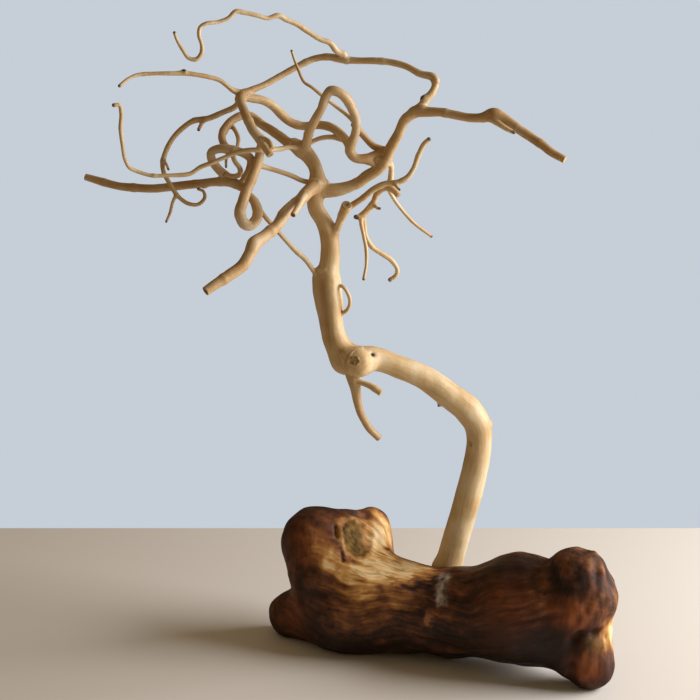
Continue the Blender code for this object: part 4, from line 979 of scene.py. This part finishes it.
def oiled_root_wood():
    """Oiled and buffed root wood: long streaks from near black through russet to gold, with a grey open scar
    and an olive patch of old lichen, and painted shade low down, in the hollows, splits and valleys, and a
    painted highlight on the right end's waist. The oil gives a broad soft gloss."""
    made, tree, shader = new_material("oiled root wood", IOR=1.48, Coat_Weight=0.03,
                                      Coat_Roughness=0.35, Specular_IOR_Level=0.26)
    read = {label: node(tree, "Attribute", attribute_name=label).outputs["Fac"]
            for label in ("gold_with_painted_light", "painted_split_shade", "scar", "pink", "lichen", "rim", "ember", "burr")}
    grain = node(tree, "Attribute", attribute_name="grain").outputs["Vector"]
    place = node(tree, "TexCoord").outputs["Object"]
    # Streaks some 4 mm across and twelve times as long, bent by a slow and a quicker swirl
    slow = node(tree, "TexNoise", {"Vector": place, "Scale": 13.0, "Detail": 1.0})
    swirl = node(tree, "TexNoise", {"Vector": place, "Scale": 45.0, "Detail": 2.0})
    leant = node(tree, "VectorMath", {0: slow.outputs["Color"], 1: (34.0, 34.0, 34.0), 2: grain},
                 operation="MULTIPLY_ADD")
    bent = node(tree, "VectorMath", {0: swirl.outputs["Color"], 1: (8.0, 8.0, 8.0),
                                     2: leant.outputs[0]}, operation="MULTIPLY_ADD")
    along = node(tree, "Mapping", {"Vector": bent.outputs[0], "Scale": (1.0, 1.0, 0.085)})
    # In the burr at each end the streaks run steeply and break up
    stood = node(tree, "Mapping", {"Vector": place, "Rotation": (0.2, 0.6, 0.1),
                                   "Scale": (1000.0, 1000.0, 200.0)})
    lengthwise = node(tree, "TexNoise", {"Vector": along.outputs[0], "Scale": 0.27, "Detail": 4.0,
                                         "Roughness": 0.55})
    steep = node(tree, "TexNoise", {"Vector": stood.outputs[0], "Scale": 0.17, "Detail": 3.0,
                                    "Roughness": 0.55})
    fine = node(tree, "Mix", {FACTOR: read["burr"], 2: lengthwise.outputs[0], 3: steep.outputs[0]},
                data_type="FLOAT")
    broad = node(tree, "TexNoise", {"Vector": along.outputs[0], "Scale": 0.11, "Detail": 2.0})
    blotch = node(tree, "TexNoise", {"Vector": place, "Scale": 130.0, "Detail": 4.0, "Roughness": 0.6})
    # The streaks are strong in the golden wood and faint in the dark wood
    reach = node(tree, "MapRange", {"Value": read["gold_with_painted_light"], "From Min": 0.25, "From Max": 0.75,
                                    "To Min": 0.55, "To Max": 1.25})
    streak = node(tree, "Math", {0: fine.outputs[0], 1: 0.5}, operation="SUBTRACT")
    one = node(tree, "Math", {0: streak.outputs[0], 1: reach.outputs[0], 2: read["gold_with_painted_light"]},
               operation="MULTIPLY_ADD")
    two = node(tree, "Math", {0: broad.outputs[0], 1: 0.45, 2: one.outputs[0]},
               operation="MULTIPLY_ADD")
    three = node(tree, "Math", {0: blotch.outputs[0], 1: 0.40, 2: two.outputs[0]},
                 operation="MULTIPLY_ADD")
    tone = node(tree, "MapRange", {"Value": three.outputs[0], "From Min": 0.46, "From Max": 1.43})
    wood = node(tree, "ValToRGB", {0: tone.outputs[0]},
                stops=[(0, "#150c07"), (1, "#efcf96"), (0.18, "#352014"), (0.36, "#673e24"),
                       (0.55, "#986535"), (0.75, "#c4904d"), (0.88, "#dcad68")])
    # Yearly lines: crisp dark threads about 3 mm apart that follow the streaks
    field = node(tree, "TexNoise", {"Vector": along.outputs[0], "Scale": 0.10, "Detail": 2.0})
    years = node(tree, "Math", {0: field.outputs[0], 1: 13.0}, operation="MULTIPLY")
    folded = node(tree, "Math", {0: years.outputs[0], 1: 1.0}, operation="PINGPONG")
    thin = node(tree, "MapRange", {"Value": folded.outputs[0], "From Min": 0.0, "From Max": 0.34,
                                   "To Min": 0.32, "To Max": 0.0})
    calm = node(tree, "Math", {0: 1.0, 1: read["burr"]}, operation="SUBTRACT")
    lined = node(tree, "Math", {0: thin.outputs[0], 1: calm.outputs[0]}, operation="MULTIPLY")
    kept = node(tree, "Math", {0: lined.outputs[0], 1: reach.outputs[0]}, operation="MULTIPLY")
    veined = node(tree, "Mix", {FACTOR: kept.outputs[0], LOW: wood.outputs[0],
                                HIGH: linear("#552b14")}, data_type="RGBA")
    glow = node(tree, "Math", {0: fine.outputs[0], 1: read["ember"]}, operation="MULTIPLY")
    russet = node(tree, "Mix", {FACTOR: glow.outputs[0], LOW: veined.outputs[MIXED],
                                HIGH: linear("#8f4a1e")}, data_type="RGBA")
    mossy = node(tree, "ValToRGB", {0: blotch.outputs[0]}, stops=[(0.32, "#35250f"), (0.68, "#9a7838")])
    rimmed = node(tree, "Mix", {FACTOR: read["rim"], LOW: russet.outputs[MIXED],
                                HIGH: linear("#c08a50")}, data_type="RGBA")
    olive = node(tree, "Mix", {FACTOR: read["lichen"], LOW: rimmed.outputs[MIXED],
                               HIGH: mossy.outputs[0]}, data_type="RGBA")
    bare = node(tree, "ValToRGB", {0: blotch.outputs[0]}, stops=[(0.3, "#5a463a"), (0.7, "#cfc2b0")])
    scarred = node(tree, "Mix", {FACTOR: read["scar"], LOW: olive.outputs[MIXED],
                                 HIGH: bare.outputs[0]}, data_type="RGBA")
    rosy = node(tree, "Mix", {FACTOR: read["pink"], LOW: scarred.outputs[MIXED],
                              HIGH: linear("#a8714f")}, data_type="RGBA")
    # Painted shade: the narrow open splits are near black inside
    split = node(tree, "Mix", {FACTOR: read["painted_split_shade"], LOW: rosy.outputs[MIXED],
                               HIGH: linear("#0c0704")}, data_type="RGBA")
    rough = node(tree, "MapRange", {"Value": fine.outputs[0], "To Min": 0.44, "To Max": 0.70})
    dry = node(tree, "Math", {0: read["lichen"], 1: read["scar"]}, operation="MAXIMUM")
    rubbed = node(tree, "Math", {0: read["burr"], 1: 0.16, 2: rough.outputs[0]},
                  operation="MULTIPLY_ADD")
    dull = node(tree, "Mix", {FACTOR: dry.outputs[0], 2: rubbed.outputs[0], 3: 0.95},
                data_type="FLOAT")
    tree.links.new(split.outputs[MIXED], shader.inputs["Base Color"])
    tree.links.new(dull.outputs[0], shader.inputs["Roughness"])
    relief = node(tree, "Bump", {"Height": fine.outputs[0], "Strength": 0.35, "Distance": 0.0012})
    tree.links.new(relief.outputs[0], shader.inputs["Normal"])
    return made


def zinc_plated_steel():
    """Zinc plated steel of a wood screw: a dull bright metal with faint cloudy plating."""
    made, tree, shader = new_material("zinc plated steel", Metallic=1.0)
    place = node(tree, "TexCoord").outputs["Object"]
    cloud = node(tree, "TexNoise", {"Vector": place, "Scale": 600.0, "Detail": 3.0})
    plate = node(tree, "ValToRGB", {0: cloud.outputs[0]}, stops=[(0, "#a39d8c"), (1, "#d6d2c6")])
    rough = node(tree, "MapRange", {"Value": cloud.outputs[0], "To Min": 0.26, "To Max": 0.45})
    tree.links.new(plate.outputs[0], shader.inputs["Base Color"])
    tree.links.new(rough.outputs[0], shader.inputs["Roughness"])
    return made


# The branch: where its two thickest limbs meet they run together far more softly than elsewhere
ELBOW, ELBOW_MELT = {"trunk_lower", "trunk_upper"}, 5.5
hazel = peeled_hazel()
curves = {name: smooth_route(route) for name, route in ROUTES.items()}
curves.update({name: smooth_route(route) for name, (parent, route) in SPURS.items()})
meets = {name: [] for name in curves}
runs = [(name, parent) for name, parents in GROWS_FROM.items() for parent in parents]
runs += [(name, parent) for name, (parent, route) in SPURS.items()]
for name, parent in runs:
    melt = 0.15 * min(curves[name][:, 3].mean(), curves[parent][:, 3].mean())
    melt = ELBOW_MELT if {name, parent} == ELBOW else float(np.clip(melt, 0.45, 2.8))
    meets[name].append((curves[parent], melt))
    meets[parent].append((curves[name], melt))
for number, (name, rings) in enumerate(curves.items()):
    piece = limb(name, rings, meets[name], hazel, 100 + number)
    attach(piece, "root")
    if name in ROUTES:
        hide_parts(name)

# The base
base = base_piece(oiled_root_wood())
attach(base, "root")
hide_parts("base_root")

# The screw stays as it was turned
steel = zinc_plated_steel()
for thing in bpy.data.objects:
    if thing.type == "MESH" and thing.name.split(".")[0] == "fixing_screw":
        for slot in thing.material_slots:
            slot.material = steel

# The table, the light and the camera
TABLE_SIDE, TABLE_FRONT = 1.7, -1.6
TABLE_BACK = SEAT[1] + 0.312
table = bpy.data.meshes.new("table")
table.from_pydata([(-TABLE_SIDE, TABLE_FRONT, 0), (TABLE_SIDE, TABLE_FRONT, 0),
                   (TABLE_SIDE, TABLE_BACK, 0), (-TABLE_SIDE, TABLE_BACK, 0)], [], [(0, 1, 2, 3)])
table_top = bpy.data.objects.new("table", table)
bpy.context.scene.collection.objects.link(table_top)
pale = new_material("pale table", Roughness=0.6, Base_Color=linear("#eee8dc"))[0]
table.materials.append(pale)

# The room: a dim warm fill, with a pale blue grey wall where the eye looks past the table
world = bpy.data.worlds.new("room light")
world.use_nodes = True
room = world.node_tree
sight = node(room, "LightPath").outputs["Is Camera Ray"]
colour = node(room, "Mix", {FACTOR: sight, LOW: linear("#dcc09a"), HIGH: linear("#c6ced7")},
              data_type="RGBA")
strength = node(room, "MapRange", {"Value": sight, "To Min": 0.26, "To Max": 1.0})
room.links.new(colour.outputs[MIXED], room.nodes["Background"].inputs["Color"])
room.links.new(strength.outputs[0], room.nodes["Background"].inputs["Strength"])
bpy.context.scene.world = world


def soft_light(name, place, aim, size, power, colour):
    """A square area light that looks from its place towards its aim."""
    lamp = bpy.data.lights.new(name, "AREA")
    lamp.shape = "SQUARE"
    lamp.size = size
    lamp.energy = power
    lamp.color = linear(colour)[:3]
    made = bpy.data.objects.new(name, lamp)
    bpy.context.scene.collection.objects.link(made)
    made.location = place
    made.rotation_euler = (Vector(aim) - Vector(place)).to_track_quat("-Z", "Y").to_euler()


soft_light("window", (1.3, -0.05, 0.62), (0.02, 0, 0.16), 0.95, 32, "#fbfaff")

CAMERA_FROM_SEAT = (-0.080, -1.224, 0.5221)
CAMERA_DOWN = math.radians(12)
FOCAL_LENGTH, SENSOR_WIDTH = 77.14, 36
lens = bpy.data.cameras.new("camera")
lens.lens = FOCAL_LENGTH
lens.sensor_width = SENSOR_WIDTH
camera = bpy.data.objects.new("camera", lens)
bpy.context.scene.collection.objects.link(camera)
camera.location = SEAT + CAMERA_FROM_SEAT
camera.rotation_euler = (math.pi / 2 - CAMERA_DOWN, 0, 0)
bpy.context.scene.camera = camera
bpy.context.scene.view_settings.view_transform = "Standard"
